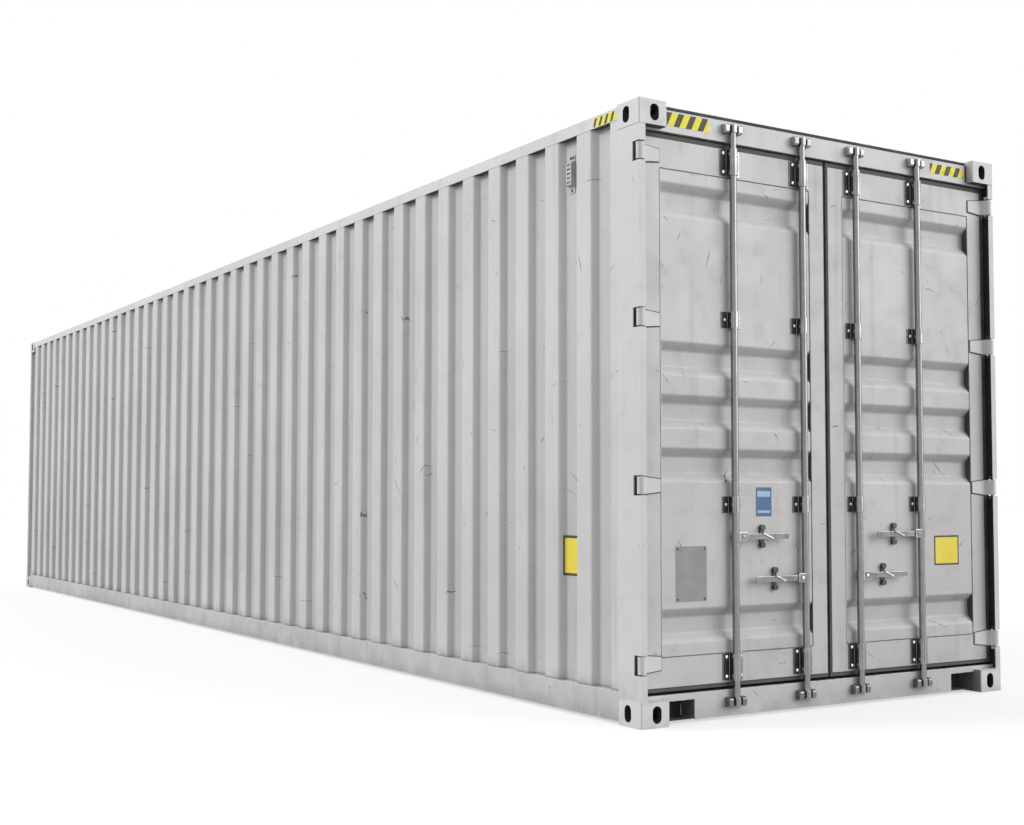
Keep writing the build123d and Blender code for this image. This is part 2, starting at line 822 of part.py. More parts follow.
# Hinges: a knuckle round the pin and a blade that tapers across the stile
def make_hinges(side):
    blade_end_x = pin_x - blade_reach
    blade_front_y = leaf_front_y - blade_thickness
    knuckle_tangent = knuckle_radius / 2**0.5
    drop = (hinge_height - hinge_tip_height) / 2
    with BuildPart() as hinges:
        for level in hinge_levels:
            with BuildSketch(Plane.XY.offset(level - hinge_height / 2)):
                with BuildLine():
                    Polyline(
                        (side * pin_x, pin_y),
                        (side * (pin_x - knuckle_tangent), pin_y - knuckle_tangent),
                        (side * (pin_x - blade_bend_reach), pin_y + blade_bend_back),
                        (side * (pin_x - blade_foot_reach), blade_front_y - blade_foot_rise),
                        (side * blade_end_x, blade_front_y),
                        (side * blade_end_x, leaf_front_y),
                        (side * leaf_outer_x, leaf_front_y),
                        (side * pin_x, pin_y + pin_radius),
                        close=True,
                    )
                make_face()
                with Locations((side * pin_x, pin_y)):
                    RegularPolygon(knuckle_radius, knuckle_sides)
                    RegularPolygon(
                        pin_radius + pin_clearance,
                        knuckle_sides,
                        major_radius=False,
                        mode=Mode.SUBTRACT,
                    )
            extrude(amount=hinge_height)
            for edge in (-1, 1):
                edge_z = level + edge * hinge_height / 2
                with BuildSketch(Plane.XZ.offset(-leaf_front_y)):
                    with BuildLine():
                        Polyline(
                            (side * leaf_outer_x, edge_z),
                            (side * blade_end_x, edge_z),
                            (side * blade_end_x, edge_z - edge * drop),
                            close=True,
                        )
                    make_face()
                extrude(amount=knuckle_radius, mode=Mode.SUBTRACT)
    return hinges.part


# Bearing brackets: a flanged saddle over the bar, two long and two short on each bar
def make_brackets(side):
    saddle_radius = bar_radius + bracket_clearance + bracket_steel
    bore_radius = bar_radius + bracket_clearance
    saddle_turn = 180 / saddle_sides
    with BuildPart() as brackets:
        for bar_x in (inner_bar_x, outer_bar_x):
            rows = [(z, long_bracket_height, long_bracket_flange) for z in long_bracket_levels]
            rows += [(z, short_bracket_height, short_bracket_flange) for z in short_bracket_levels]
            for level, tall, flange in rows:
                with BuildSketch(Plane.XY.offset(level - tall / 2)):
                    with Locations((side * bar_x, (leaf_front_y + bar_y) / 2)):
                        Rectangle(2 * saddle_radius, leaf_front_y - bar_y)
                    with Locations((side * bar_x, bar_y)):
                        RegularPolygon(saddle_radius, saddle_sides, False, saddle_turn)
                    with Locations((side * bar_x, leaf_front_y - bracket_steel / 2)):
                        Rectangle(2 * (saddle_radius + flange), bracket_steel)
                    with Locations((side * bar_x, (leaf_front_y - bracket_steel + bar_y) / 2)):
                        Rectangle(
                            2 * bore_radius,
                            leaf_front_y - bracket_steel - bar_y,
                            mode=Mode.SUBTRACT,
                        )
                    with Locations((side * bar_x, bar_y)):
                        RegularPolygon(
                            bore_radius,
                            saddle_sides,
                            False,
                            saddle_turn,
                            mode=Mode.SUBTRACT,
                        )
                extrude(amount=tall)
    return brackets.part


# Handle catches: a plate on the leaf with a knob at each end, and a stem that reaches to the handle
def catch_places(side):
    return (
        (side * (outer_bar_x - catch_offset), upper_handle_level),
        (side * (inner_bar_x + catch_offset), lower_handle_level),
    )


handle_back_y = bar_y - handle_gap
handle_front_y = handle_back_y - handle_thickness


def make_catches(side):
    stem_front_y = handle_back_y + catch_gap
    with BuildPart() as catches:
        for catch_x, level in catch_places(side):
            with BuildSketch(Plane.XZ.offset(-leaf_front_y)):
                with Locations((catch_x, level)):
                    Rectangle(catch_width, catch_height)
            extrude(amount=catch_plate)
            with BuildSketch(Plane.XZ.offset(-leaf_front_y)):
                for end in (-1, 1):
                    with Locations((catch_x, level + end * catch_height / 2)):
                        RegularPolygon(catch_knob_radius, catch_knob_sides)
            extrude(amount=catch_knob_depth)
            with BuildSketch(Plane.XZ.offset(-leaf_front_y)):
                with Locations((catch_x, level)):
                    Rectangle(catch_stem, catch_stem)
            extrude(amount=leaf_front_y - stem_front_y)
    return catches.part


for side_name, side in sides.items():
    door_pieces = {
        "frame": make_door_frame(side),
        "panel": make_door_panel(side),
        "gasket": make_gasket(side),
        "hinges": make_hinges(side),
        "bar_brackets": make_brackets(side),
        "handle_catches": make_catches(side),
    }
    for piece_name, piece in door_pieces.items():
        piece.label = f"{side_name}_door_{piece_name}"
        export_step(piece, f"parts/{side_name}_door_{piece_name}.step")


# Locking bars: a steel bar with a cam near each end and a hub that carries the handle
def make_bar(bar_x, toward, handle_level):
    cheek_y = bar_y - handle_gap + hub_cheek_thickness / 2
    with BuildPart() as bar:
        with BuildSketch(Plane.XY.offset(bar_bottom)):
            with Locations((bar_x, bar_y)):
                Circle(bar_radius)
        extrude(amount=bar_top - bar_bottom)
        for cam_level in (bottom_cam_level, top_cam_level):
            with BuildSketch(Plane.XY.offset(cam_level - cam_height / 2)) as cam_outline:
                with Locations((bar_x, bar_y - cam_radius / 2)):
                    Rectangle(cam_width, cam_radius)
                chamfer(cam_outline.vertices().group_by(Axis.Y)[0], cam_corner)
            extrude(amount=cam_height)
        with BuildSketch(Plane.XY.offset(handle_level - hub_height / 2)):
            with Locations((bar_x, bar_y)):
                RegularPolygon(hub_radius, hub_sides, major_radius=False)
            with Locations((bar_x + toward * hub_cheek_length / 2, cheek_y)):
                Rectangle(hub_cheek_length, hub_cheek_thickness)
        extrude(amount=hub_height)
        with BuildSketch(Plane.XZ.offset(-(bar_y - handle_gap))):
            with Locations((bar_x + toward * (hub_cheek_length + rivet_offset) / 2, handle_level)):
                Rectangle(hub_cheek_length + rivet_offset - hub_radius, hub_height)
        extrude(amount=hub_radius, mode=Mode.SUBTRACT)
    return bar.part


def make_handle(bar_x, toward, handle_level):
    start = hub_radius + handle_root_gap
    with BuildPart() as handle:
        with BuildSketch(Plane.XZ.offset(-(bar_y - handle_gap))):
            with Locations((bar_x + toward * (start + handle_length) / 2, handle_level)):
                Rectangle(handle_length - start, handle_height)
        extrude(amount=handle_thickness)
        chamfer(handle.edges().filter_by(Axis.Y), handle_corner)
    return handle.part


for side_name, side in sides.items():
    bars = (
        ("outer", outer_bar_x, -side, upper_handle_level),
        ("inner", inner_bar_x, side, lower_handle_level),
    )
    for place, offset_x, toward, level in bars:
        bar_solid = make_bar(side * offset_x, toward, level)
        bar_solid.label = f"locking_bar_{side_name}_{place}"
        export_step(bar_solid, f"parts/locking_bar_{side_name}_{place}.step")
        handle_solid = make_handle(side * offset_x, toward, level)
        handle_solid.label = f"handle_{side_name}_{place}"
        export_step(handle_solid, f"parts/handle_{side_name}_{place}.step")
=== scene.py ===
import json
import math

import bmesh
import bpy
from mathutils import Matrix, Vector

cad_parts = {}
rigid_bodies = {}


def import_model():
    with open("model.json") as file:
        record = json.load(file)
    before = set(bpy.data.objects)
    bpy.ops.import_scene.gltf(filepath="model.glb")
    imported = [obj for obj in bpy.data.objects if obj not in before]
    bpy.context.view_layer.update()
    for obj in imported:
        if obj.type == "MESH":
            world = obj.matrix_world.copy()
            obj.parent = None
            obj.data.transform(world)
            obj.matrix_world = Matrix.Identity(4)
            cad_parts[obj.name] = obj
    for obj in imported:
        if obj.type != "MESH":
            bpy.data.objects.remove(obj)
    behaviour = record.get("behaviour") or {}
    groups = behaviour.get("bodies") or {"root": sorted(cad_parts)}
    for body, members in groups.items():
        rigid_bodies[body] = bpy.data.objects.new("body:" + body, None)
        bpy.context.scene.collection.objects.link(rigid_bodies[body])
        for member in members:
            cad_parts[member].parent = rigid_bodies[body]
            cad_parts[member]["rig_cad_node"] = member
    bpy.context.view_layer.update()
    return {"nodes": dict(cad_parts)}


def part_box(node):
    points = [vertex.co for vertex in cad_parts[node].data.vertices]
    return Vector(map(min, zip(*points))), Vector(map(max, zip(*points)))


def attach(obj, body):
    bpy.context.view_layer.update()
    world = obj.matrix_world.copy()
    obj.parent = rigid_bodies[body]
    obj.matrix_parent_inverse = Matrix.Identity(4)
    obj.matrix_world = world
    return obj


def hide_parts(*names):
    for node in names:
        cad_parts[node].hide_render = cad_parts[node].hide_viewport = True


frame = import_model()


# Corner castings: hollow cast steel boxes welded to the ends of the posts and rails, so
# that cranes and twist locks can hold the container. Pale grey paint, rubbed at the edges
# and round the slots. Painted shade makes them black inside, dark on the undersides of the
# upper ones, and darker where they face each other at the doors.
def link(tree, source, target):
    tree.links.new(source, target)


def set_or_link(tree, value, socket):
    if isinstance(value, tuple):
        socket.default_value = (*value, 1.0) if len(socket.default_value) == 4 else value
    elif isinstance(value, (int, float)):
        socket.default_value = value
    else:
        link(tree, value, socket)


# A node with its settings, and its inputs set or linked by name or number
def new_node(tree, kind, inputs, **settings):
    node = tree.nodes.new(kind)
    for name, value in settings.items():
        setattr(node, name, value)
    for socket, value in inputs.items():
        set_or_link(tree, value, node.inputs[socket])
    return node.outputs


def maths(tree, operation, first, second=0.0, clamp=False):
    inputs = {0: first, 1: second}
    return new_node(tree, "ShaderNodeMath", inputs, operation=operation, use_clamp=clamp)[0]


def times(tree, first, second):
    return maths(tree, "MULTIPLY", first, second)


def between(tree, value, start, end, low=0.0, high=1.0):
    inputs = {"Value": value, "From Min": start, "From Max": end, "To Min": low, "To Max": high}
    return new_node(tree, "ShaderNodeMapRange", inputs, interpolation_type="SMOOTHSTEP")["Result"]


# A Mix node has its colours on inputs 6 and 7 and on output 2
def mix_colour(tree, factor, first, second):
    return new_node(tree, "ShaderNodeMix", {0: factor, 6: first, 7: second}, data_type="RGBA")[2]


def stain(tree, colour, mask, share, over):
    return mix_colour(tree, times(tree, mask, share), colour, over)


def axes(tree, vector):
    return new_node(tree, "ShaderNodeSeparateXYZ", {0: vector})


def noise(tree, vector, scale, detail, stretch=(1.0, 1.0, 1.0)):
    mapped = new_node(tree, "ShaderNodeMapping", {"Vector": vector, "Scale": stretch})[0]
    inputs = {"Vector": mapped, "Scale": scale, "Detail": detail}
    return new_node(tree, "ShaderNodeTexNoise", inputs)[0]


socket_kinds = {type(None): "NodeSocketVector", tuple: "NodeSocketColor", float: "NodeSocketFloat"}


# A group's inputs are given by their first values, which also tell what kind they are
def start_group(name, inputs, outputs):
    group = bpy.data.node_groups.new(name, "ShaderNodeTree")
    for socket_name, value in inputs.items():
        kind = socket_kinds[type(value)]
        socket = group.interface.new_socket(socket_name, in_out="INPUT", socket_type=kind)
        if value is not None:
            socket.default_value = value
    for socket_name, kind in outputs.items():
        group.interface.new_socket(socket_name, in_out="OUTPUT", socket_type=kind)
    return group, group.nodes.new("NodeGroupInput").outputs, group.nodes.new("NodeGroupOutput").inputs


def place_group(tree, group, **inputs):
    return new_node(tree, "ShaderNodeGroup", inputs, node_tree=group)


# Paint tone: large soft clouds, small blotches and streaks that rain has washed down
def make_paint_tone():
    group, given, made = start_group(
        "paint_tone",
        {"Vector": None, "Paint": (0.6, 0.6, 0.6, 1.0), "Grime": (0.2, 0.19, 0.17, 1.0), "Amount": 0.3},
        {"Color": "NodeSocketColor", "Roughness": "NodeSocketFloat"},
    )
    clouds = noise(group, given["Vector"], 1.3, 3.0)
    blotches = noise(group, given["Vector"], 11.0, 4.0)
    streaks = noise(group, given["Vector"], 16.0, 4.0, stretch=(1.0, 1.0, 0.05))
    tone = given["Paint"]
    for pattern, start, full, strength in (
        (clouds, 0.38, 0.68, 0.34),
        (blotches, 0.56, 0.72, 0.22),
        (streaks, 0.56, 0.74, 0.40),
    ):
        dull = times(group, between(group, pattern, start, full), given["Amount"])
        tone = stain(group, tone, dull, strength, given["Grime"])
    link(group, tone, made["Color"])
    link(group, between(group, blotches, 0.3, 0.7, 0.42, 0.6), made["Roughness"])
    return group


# Scrapes: one short thin scratch in some of the cells that the surface is divided into
def make_scrapes():
    group, given, made = start_group(
        "scrapes",
        {"Vector": None, "Cells": 1.6, "Length": 0.06, "Width": 0.004, "Share": 0.5},
        {"Mask": "NodeSocketFloat"},
    )
    x, y, z = axes(group, given["Vector"])
    flat = new_node(group, "ShaderNodeCombineXYZ", {0: maths(group, "ADD", x, y), 1: z})[0]
    inputs = {"Vector": flat, "Scale": given["Cells"]}
    cells = new_node(group, "ShaderNodeTexVoronoi", inputs, voronoi_dimensions="2D")
    turn, size, luck = new_node(group, "ShaderNodeSeparateColor", {0: cells["Color"]})
    inputs = {0: flat, 1: cells["Position"]}
    offset = new_node(group, "ShaderNodeVectorMath", inputs, operation="SUBTRACT")[0]
    inputs = {"Vector": offset, "Angle": times(group, turn, math.pi)}
    turned = new_node(group, "ShaderNodeVectorRotate", inputs, rotation_type="Z_AXIS")[0]
    sideways, lengthways, upwards = axes(group, turned)
    reach = times(group, given["Length"], maths(group, "ADD", size, 0.35))
    near_end = maths(group, "DIVIDE", maths(group, "ABSOLUTE", lengthways), reach)
    along = maths(group, "SUBTRACT", 1.0, near_end, clamp=True)
    shake = noise(group, given["Vector"], 22.0, 2.0)
    bent = maths(group, "ADD", sideways, times(group, shake, scrape_shake))
    across = maths(group, "ABSOLUTE", maths(group, "SUBTRACT", bent, scrape_shake / 2))
    thin = times(group, given["Width"], maths(group, "POWER", along, 0.5))
    line = maths(group, "SUBTRACT", 1.0, maths(group, "DIVIDE", across, thin), clamp=True)
    chosen = maths(group, "LESS_THAN", luck, given["Share"])
    gaps = between(group, noise(group, given["Vector"], 60.0, 3.0), 0.36, 0.56)
    within = times(group, between(group, along, 0.0, 0.1), chosen)
    mask = times(group, times(group, line, within), gaps)
    link(group, between(group, mask, 0.0, 0.45), made["Mask"])
    return group


# Low dust: grime thickest at one level, thinning out above it in an uneven edge
def make_low_dust():
    group, given, made = start_group(
        "low_dust", {"Vector": None, "Low": 0.15, "High": 0.3}, {"Mask": "NodeSocketFloat"}
    )
    level = axes(group, given["Vector"])[2]
    fade = between(group, level, given["Low"], given["High"], 1.0, 0.0)
    patches = noise(group, given["Vector"], 7.0, 5.0)
    link(group, times(group, fade, between(group, patches, 0.3, 0.66)), made["Mask"])
    return group


# Surface relief: the slow waves of a sheet and the fine grain of sprayed paint
def make_relief():
    group, given, made = start_group(
        "relief", {"Vector": None, "Waves": 1.0, "Grain": 0.006}, {"Height": "NodeSocketFloat"}
    )
    waves = times(group, noise(group, given["Vector"], 2.6, 2.0), given["Waves"])
    grain = times(group, noise(group, given["Vector"], 190.0, 2.0), given["Grain"])
    link(group, maths(group, "ADD", waves, grain), made["Height"])
    return group


scrape_shake = 0.02
paint_tone = make_paint_tone()
scrapes = make_scrapes()
low_dust = make_low_dust()
relief = make_relief()


def new_material(name):
    material = bpy.data.materials.new(name)
    material.use_nodes = True
    tree = material.node_tree
    place = tree.nodes.new("ShaderNodeTexCoord").outputs["Object"]
    return material, tree, tree.nodes["Principled BSDF"], place


def set_surface(tree, shader, colour, roughness):
    link(tree, colour, shader.inputs["Base Color"])
    link(tree, roughness, shader.inputs["Roughness"])


def raise_surface(tree, shader, height, distance):
    inputs = {"Strength": 1.0, "Distance": distance, "Height": height}
    link(tree, new_node(tree, "ShaderNodeBump", inputs)[0], shader.inputs["Normal"])


grime_brown = (0.17, 0.155, 0.135)
scrape_black = (0.035, 0.035, 0.035)
darkening_from = 0.2
darkening_to = 2.6
# Long and short scrapes: cells to a metre, length and width
scrape_layers = ((1.6, 0.06, 0.004), (3.7, 0.028, 0.0026))
scrape_strength = 0.8
paint_relief = 0.006


# Painted steel: low dust lies between two levels, and the paint darkens slowly towards the bottom
def painted_steel(
    name, paint, amount=0.3, dust=(0.12, 0.24), dusty=0.35, share=0.4, waves=1.0, bottom_darkening=0.0
):
    material, tree, shader, place = new_material(name)
    tone = place_group(tree, paint_tone, Vector=place, Paint=paint, Grime=grime_brown, Amount=amount)
    dusted = place_group(tree, low_dust, Vector=place, Low=dust[0], High=dust[1])["Mask"]
    colour = stain(tree, tone["Color"], dusted, dusty, grime_brown)
    if bottom_darkening:
        darkened = between(tree, axes(tree, place)[2], darkening_from, darkening_to, bottom_darkening, 0.0)
        colour = mix_colour(tree, darkened, colour, grime_brown)
    for cells, length, width in scrape_layers:
        scratch = place_group(
            tree, scrapes, Vector=place, Cells=cells, Length=length, Width=width, Share=share
        )["Mask"]
        colour = stain(tree, colour, scratch, scrape_strength, scrape_black)
    set_surface(tree, shader, colour, tone["Roughness"])
    height = place_group(tree, relief, Vector=place, Waves=waves)["Height"]
    raise_surface(tree, shader, height, paint_relief)
    return material


# Rubbed edge: the same paint, broken by small dark chips
def rubbed_edge(name, paint, chips=0.35):
    material, tree, shader, place = new_material(name)
    lighter = tuple(min(1.0, value * 1.12) for value in paint)
    chipped = between(tree, noise(tree, place, 34.0, 5.0), 0.55, 0.64)
    colour = stain(tree, lighter, chipped, chips, grime_brown)
    set_surface(tree, shader, colour, between(tree, chipped, 0.0, 1.0, 0.45, 0.75))
    return material


# Dark finish: bare, coated or dirty steel, clouded and finely grained
def dark_finish(name, colour, roughness=0.8, grain=90.0):
    material, tree, shader, place = new_material(name)
    lighter = tuple(value * 1.7 for value in colour)
    cloud = noise(tree, place, 9.0, 4.0)
    clouded = mix_colour(tree, between(tree, cloud, 0.35, 0.7), colour, lighter)
    dullness = between(tree, cloud, 0.3, 0.7, roughness - 0.08, roughness + 0.1)
    set_surface(tree, shader, clouded, dullness)
    raise_surface(tree, shader, noise(tree, place, grain, 3.0), 0.0006)
    return material


casting_grey = (0.66, 0.665, 0.665)
casting_paint = painted_steel("casting_paint", casting_grey, dust=(0.0, 0.07), share=0.3, waves=0.3)
casting_edge = rubbed_edge("casting_edge", casting_grey)
# Painted shade: black inside the castings, and darker on the sides that face the doorway
casting_inside_shade = dark_finish("casting_inside_shade", (0.022, 0.021, 0.021), roughness=0.9)
# Painted shade for the undersides of the upper castings and of the top rails
underside_shade = dark_finish("underside_shade", (0.055, 0.052, 0.05))
casting_shade_high = dark_finish("casting_shade_high", (0.33, 0.325, 0.32), roughness=0.6)
casting_shade_low = dark_finish("casting_shade_low", (0.17, 0.165, 0.16), roughness=0.7)


def choose(piece):
    bpy.ops.object.select_all(action="DESELECT")
    piece.select_set(True)
    bpy.context.view_layer.objects.active = piece


def close_edit():
    bpy.ops.object.mode_set(mode="OBJECT")


# Opens a piece in edit mode, with only the corners, edges or faces selected that pass a test
def edit_where(piece, kind, test):
    choose(piece)
    bpy.ops.object.mode_set(mode="EDIT")
    bpy.ops.mesh.select_mode(type=kind)
    bpy.ops.mesh.select_all(action="DESELECT")
    shape = bmesh.from_edit_mesh(piece.data)
    for part in {"VERT": shape.verts, "EDGE": shape.edges, "FACE": shape.faces}[kind]:
        part.select_set(test(part))
    shape.select_flush_mode()
    bmesh.update_edit_mesh(piece.data)


def use_materials(piece, *materials):
    piece.data.materials.clear()
    for material in materials:
        piece.data.materials.append(material)


# The body that most pieces ride on
fixed = "container_body"


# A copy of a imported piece: its loose triangles are welded into whole faces again
def welded_copy(node, name):
    choose(frame["nodes"][node])
    bpy.ops.object.duplicate()
    piece = bpy.context.active_object
    piece.name = name
    piece.data.name = name
    piece.parent = None
    del piece["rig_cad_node"]
    bpy.ops.mesh.customdata_custom_splitnormals_clear()
    bpy.ops.object.mode_set(mode="EDIT")
    bpy.ops.mesh.select_all(action="SELECT")
    bpy.ops.mesh.remove_doubles(threshold=0.00005)
    bpy.ops.mesh.dissolve_limited(angle_limit=math.radians(0.6))
    close_edit()
    return piece


# Gives the chosen piece a modifier with its settings, and applies it
def apply_modifier(piece, kind, **settings):
    modifier = piece.modifiers.new("shaping", kind)
    for name, value in settings.items():
        setattr(modifier, name, value)
    bpy.ops.object.modifier_apply(modifier="shaping")


def soften_edges(piece, width, segments=2, rim=-1):
    choose(piece)
    bpy.ops.object.shade_smooth()
    edges = {"limit_method": "ANGLE", "angle_limit": math.radians(28), "harden_normals": True}
    apply_modifier(piece, "BEVEL", width=width, segments=segments, material=rim, **edges)


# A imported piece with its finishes: rim numbers the one on its softened edges, and
# paint_faces gives the number of the one on each face
def finish_node(
    node, materials, width=0.002, paint_faces=None, rim=1, segments=2, body=fixed
):
    piece = welded_copy(node, f"{node}_finished")
    use_materials(piece, *materials)
    if paint_faces:
        for face in piece.data.polygons:
            face.material_index = paint_faces(face.center, face.normal)
    soften_edges(piece, width, segments, rim)
    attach(piece, body)
    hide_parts(node)


square_on = 0.9
casting_skin = 0.001
casting_wall_depth = 0.004
upper_half_z = 1.0
door_end_y = -5.9
for node in [name for name in frame["nodes"] if name.startswith("corner_casting")]:
    box_low, box_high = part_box(node)

    # Inside faces, undersides of the upper castings and sides facing the doorway take painted shade
    def casting_face(centre, normal):
        depths = [min(centre[axis] - box_low[axis], box_high[axis] - centre[axis]) for axis in range(3)]
        if normal.z < -square_on and centre.z > upper_half_z:
            return 3
        inward = normal.x * centre.x < -square_on
        if inward and centre.y < door_end_y and min(depths) < casting_skin:
            return 4 if centre.z > upper_half_z else 5
        return 2 if min(depths) > casting_wall_depth else 0

    finishes = casting_paint, casting_edge, casting_inside_shade, underside_shade, casting_shade_high, casting_shade_low
    finish_node(node, finishes, 0.0025, casting_face)

# Corner posts: pressed and welded steel sections between the castings. The rear ones carry
# the door's hinge lugs and pins, and are painted near black in the gap behind them, as shade
# and grime. The front ones are folded to meet the side walls.
frame_grey = (0.645, 0.65, 0.655)
frame_paint = painted_steel("frame_paint", frame_grey, dust=(0.1, 0.3), share=0.45, waves=0.5)
frame_edge = rubbed_edge("frame_edge", frame_grey)
post_gap_shade = dark_finish("post_gap_shade", (0.02, 0.02, 0.02), roughness=0.85)
gap_front_y = -6.08
gap_floor_y = -6.0
gap_back_y = -5.98
gap_side_x = 1.212


# Faces in the gap behind the doors take painted shade and grime
def post_face(centre, normal):
    in_gap = gap_front_y < centre.y < gap_back_y and abs(centre.x) < gap_side_x
    return 2 if in_gap and (abs(normal.y) < 0.5 or centre.y > gap_floor_y) else 0


for side in ("left", "right"):
    rear_finishes = frame_paint, frame_edge, post_gap_shade
    finish_node(f"rear_corner_post_{side}", rear_finishes, paint_faces=post_face)
    finish_node(f"front_corner_post_{side}", (frame_paint, frame_edge), 0.003)

# Side rails: a channel at the foot of each side wall and a square tube at its head, welded
# between the castings. The foot rail is rubbed and dusty, and darkest along its lower lip.
rail_grey = (0.545, 0.545, 0.54)
rail_paint = painted_steel("rail_paint", rail_grey, amount=0.5, dust=(0.0, 0.2), waves=0.6)
rail_edge = rubbed_edge("rail_edge", rail_grey, chips=0.7)
top_rail_grey = (0.69, 0.69, 0.69)
top_rail_paint = painted_steel("top_rail_paint", top_rail_grey, share=0.3, waves=0.3)


# The top rails' undersides take painted shade
def top_rail_face(centre, normal):
    return 2 if normal.z < -square_on else 0


for side in ("left", "right"):
    finish_node(f"bottom_side_rail_{side}", (rail_paint, rail_edge))
    top_finishes = top_rail_paint, frame_edge, underside_shade
    finish_node(f"top_side_rail_{side}", top_finishes, 0.004, top_rail_face)

# Hazard marks: slanting yellow and black bands on the ends of the header and on the rails
# beside it. Each is a thin film on the steel, worn in patches.
hazard_yellow = (0.88, 0.80, 0.07)
hazard_black = (0.075, 0.068, 0.045)
hazard_slope = 0.48


# The bands repeat at a pitch from a first edge, and a share of each is dark
def make_hazard_film(name, pitch, first, dark_share):
    material, tree, shader, place = new_material(name)
    x, y, z = axes(tree, place)
    along = maths(tree, "SUBTRACT", x, y)
    slant = maths(tree, "SUBTRACT", along, times(tree, z, hazard_slope))
    cycle = maths(tree, "FRACT", maths(tree, "DIVIDE", maths(tree, "SUBTRACT", slant, first), pitch))
    band = maths(tree, "LESS_THAN", cycle, dark_share)
    colour = mix_colour(tree, band, hazard_yellow, hazard_black)
    worn = between(tree, noise(tree, place, 26.0, 5.0), 0.58, 0.7)
    colour = stain(tree, colour, worn, 0.35, grime_brown)
    set_surface(tree, shader, colour, between(tree, worn, 0.0, 1.0, 0.45, 0.7))
    shader.inputs["Specular IOR Level"].default_value = 0.2
    return material


# A new primitive, added with nothing else selected
def new_piece(add, **settings):
    bpy.ops.object.select_all(action="DESELECT")
    add(**settings)
    return bpy.context.active_object


# A block of the given size, centred on a place
def new_block(sizes, place=(0.0, 0.0, 0.0)):
    piece = new_piece(bpy.ops.mesh.primitive_cube_add, size=1.0, location=place)
    bpy.ops.transform.resize(value=sizes)
    bpy.ops.object.transform_apply()
    return piece


# A thin plate that lies flat on one axis, with its middle at a level and its soft rim in
# the same finish or in one of its own
def thin_plate(
    name, axis, level, low, high, thickness, material, body=fixed, slot="dark_steel", rim_material=None
):
    middle = [(start + end) / 2 for start, end in zip(low, high)]
    sizes = [abs(end - start) for start, end in zip(low, high)]
    middle.insert(axis, level)
    sizes.insert(axis, thickness)
    piece = new_block(sizes, middle)
    piece.name = name
    use_materials(piece, material, rim_material or material)
    soften_edges(piece, thickness * 0.4, 1, rim=1)
    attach(piece, body)


film_thickness = 0.0006
header_film_left = make_hazard_film("hazard_film_header_left", 0.0723, 3.724, 0.48)
header_film_right = make_hazard_film("hazard_film_header_right", 0.0723, 3.7023, 0.5)
header_low, header_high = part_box("door_header")
header_film_y = header_low.y - film_thickness / 2
header_film_foot = 2.7995
for side, from_x, to_x, top_z, film in (
    ("left", -1.0235, -0.767, 2.8648, header_film_left),
    ("right", 0.7675, 1.030, 2.853, header_film_right),
):
    name, low, high = f"hazard_mark_header_{side}", (from_x, header_film_foot), (to_x, top_z)
    thin_plate(name, 1, header_film_y, low, high, film_thickness, film, slot="grey_paint")
rail_film = make_hazard_film("hazard_film_rail", 0.048, 3.2357, 0.42)
low, high = (-5.910, 2.8325), (-5.726, 2.8755)
rail_film_x = -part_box("top_side_rail_left")[0].x + film_thickness / 2
both_sides = (("left", -1.0), ("right", 1.0))
for side, outward in both_sides:
    name, level = f"hazard_mark_rail_{side}", outward * rail_film_x
    thin_plate(name, 0, level, low, high, film_thickness, rail_film, slot="grey_paint")

# Side walls: steel sheet folded into upright corrugations, in panels welded edge to edge
# and to the rails. Each bend is rounded and the sheets are scraped and faintly streaked.
# Painted shade darkens the folds, the paint darkens slowly towards the foot, and a line of
# painted shadow and grime runs along it.
wall_grey = (0.63, 0.635, 0.64)
wall_paint = painted_steel("wall_paint", wall_grey, 0.3, (0.14, 0.22), 0.55, share=0.8, bottom_darkening=0.09)
wall_pitch = 0.2859
wall_recess_count = 41
wall_first = 0.060
wall_slope = 0.030
wall_floor = 0.105
wall_depth = 0.036
wall_steel = 0.002
bend_radius = 0.009
at_edge = 0.0005


# Darkening that grows between two levels of one axis: painted shade in the bottoms of folds
# and grooves, and darker strips at the feet of parts
def darken_towards(material, axis, start, full, amount, mirrored=False):
    tree = material.node_tree
    base = tree.nodes["Principled BSDF"].inputs["Base Color"]
    level = axes(tree, tree.nodes.new("ShaderNodeTexCoord").outputs["Object"])[axis]
    if mirrored:
        level = maths(tree, "ABSOLUTE", level)
    grown = between(tree, level, start, full, 0.0, amount)
    link(tree, mix_colour(tree, grown, base.links[0].from_socket, grime_brown), base)


wall_face_x = -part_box("side_wall_left")[0].x
# Painted shade deepens into the bottoms of the wall's folds
darken_towards(wall_paint, 0, wall_face_x - 0.004, wall_face_x - 0.034, 0.22, mirrored=True)
# A dark line of painted shadow and grime along the wall's foot
darken_towards(wall_paint, 2, 0.168, 0.154, 0.6)
# Darker towards the foot rail's lower lip
darken_towards(rail_paint, 2, 0.075, 0.02, 0.22)
# More painted shade towards the inside on the lower castings' doorway sides
darken_towards(casting_shade_low, 1, -6.055, -6.02, 0.55)


# A chain of edges that follows the folds of a sheet, pulled out into a folded strip
def folded_strip(name, start, steps, pull):
    piece = new_piece(bpy.ops.mesh.primitive_plane_add, size=0.01, location=start)
    piece.name = name
    bpy.ops.object.transform_apply()
    bpy.ops.object.mode_set(mode="EDIT")
    bpy.ops.mesh.select_mode(type="VERT")
    bpy.ops.mesh.merge(type="CENTER")
    for step in steps:
        bpy.ops.mesh.extrude_vertices_move(TRANSFORM_OT_translate={"value": step})
    bpy.ops.mesh.select_all(action="SELECT")
    bpy.ops.mesh.extrude_edges_move(TRANSFORM_OT_translate={"value": pull})
    close_edit()
    return piece


def repeat_strip(piece, count, offset):
    choose(piece)
    steps = {"use_relative_offset": False, "use_constant_offset": True, "use_merge_vertices": True}
    apply_modifier(piece, "ARRAY", count=count, constant_offset_displace=offset, **steps)


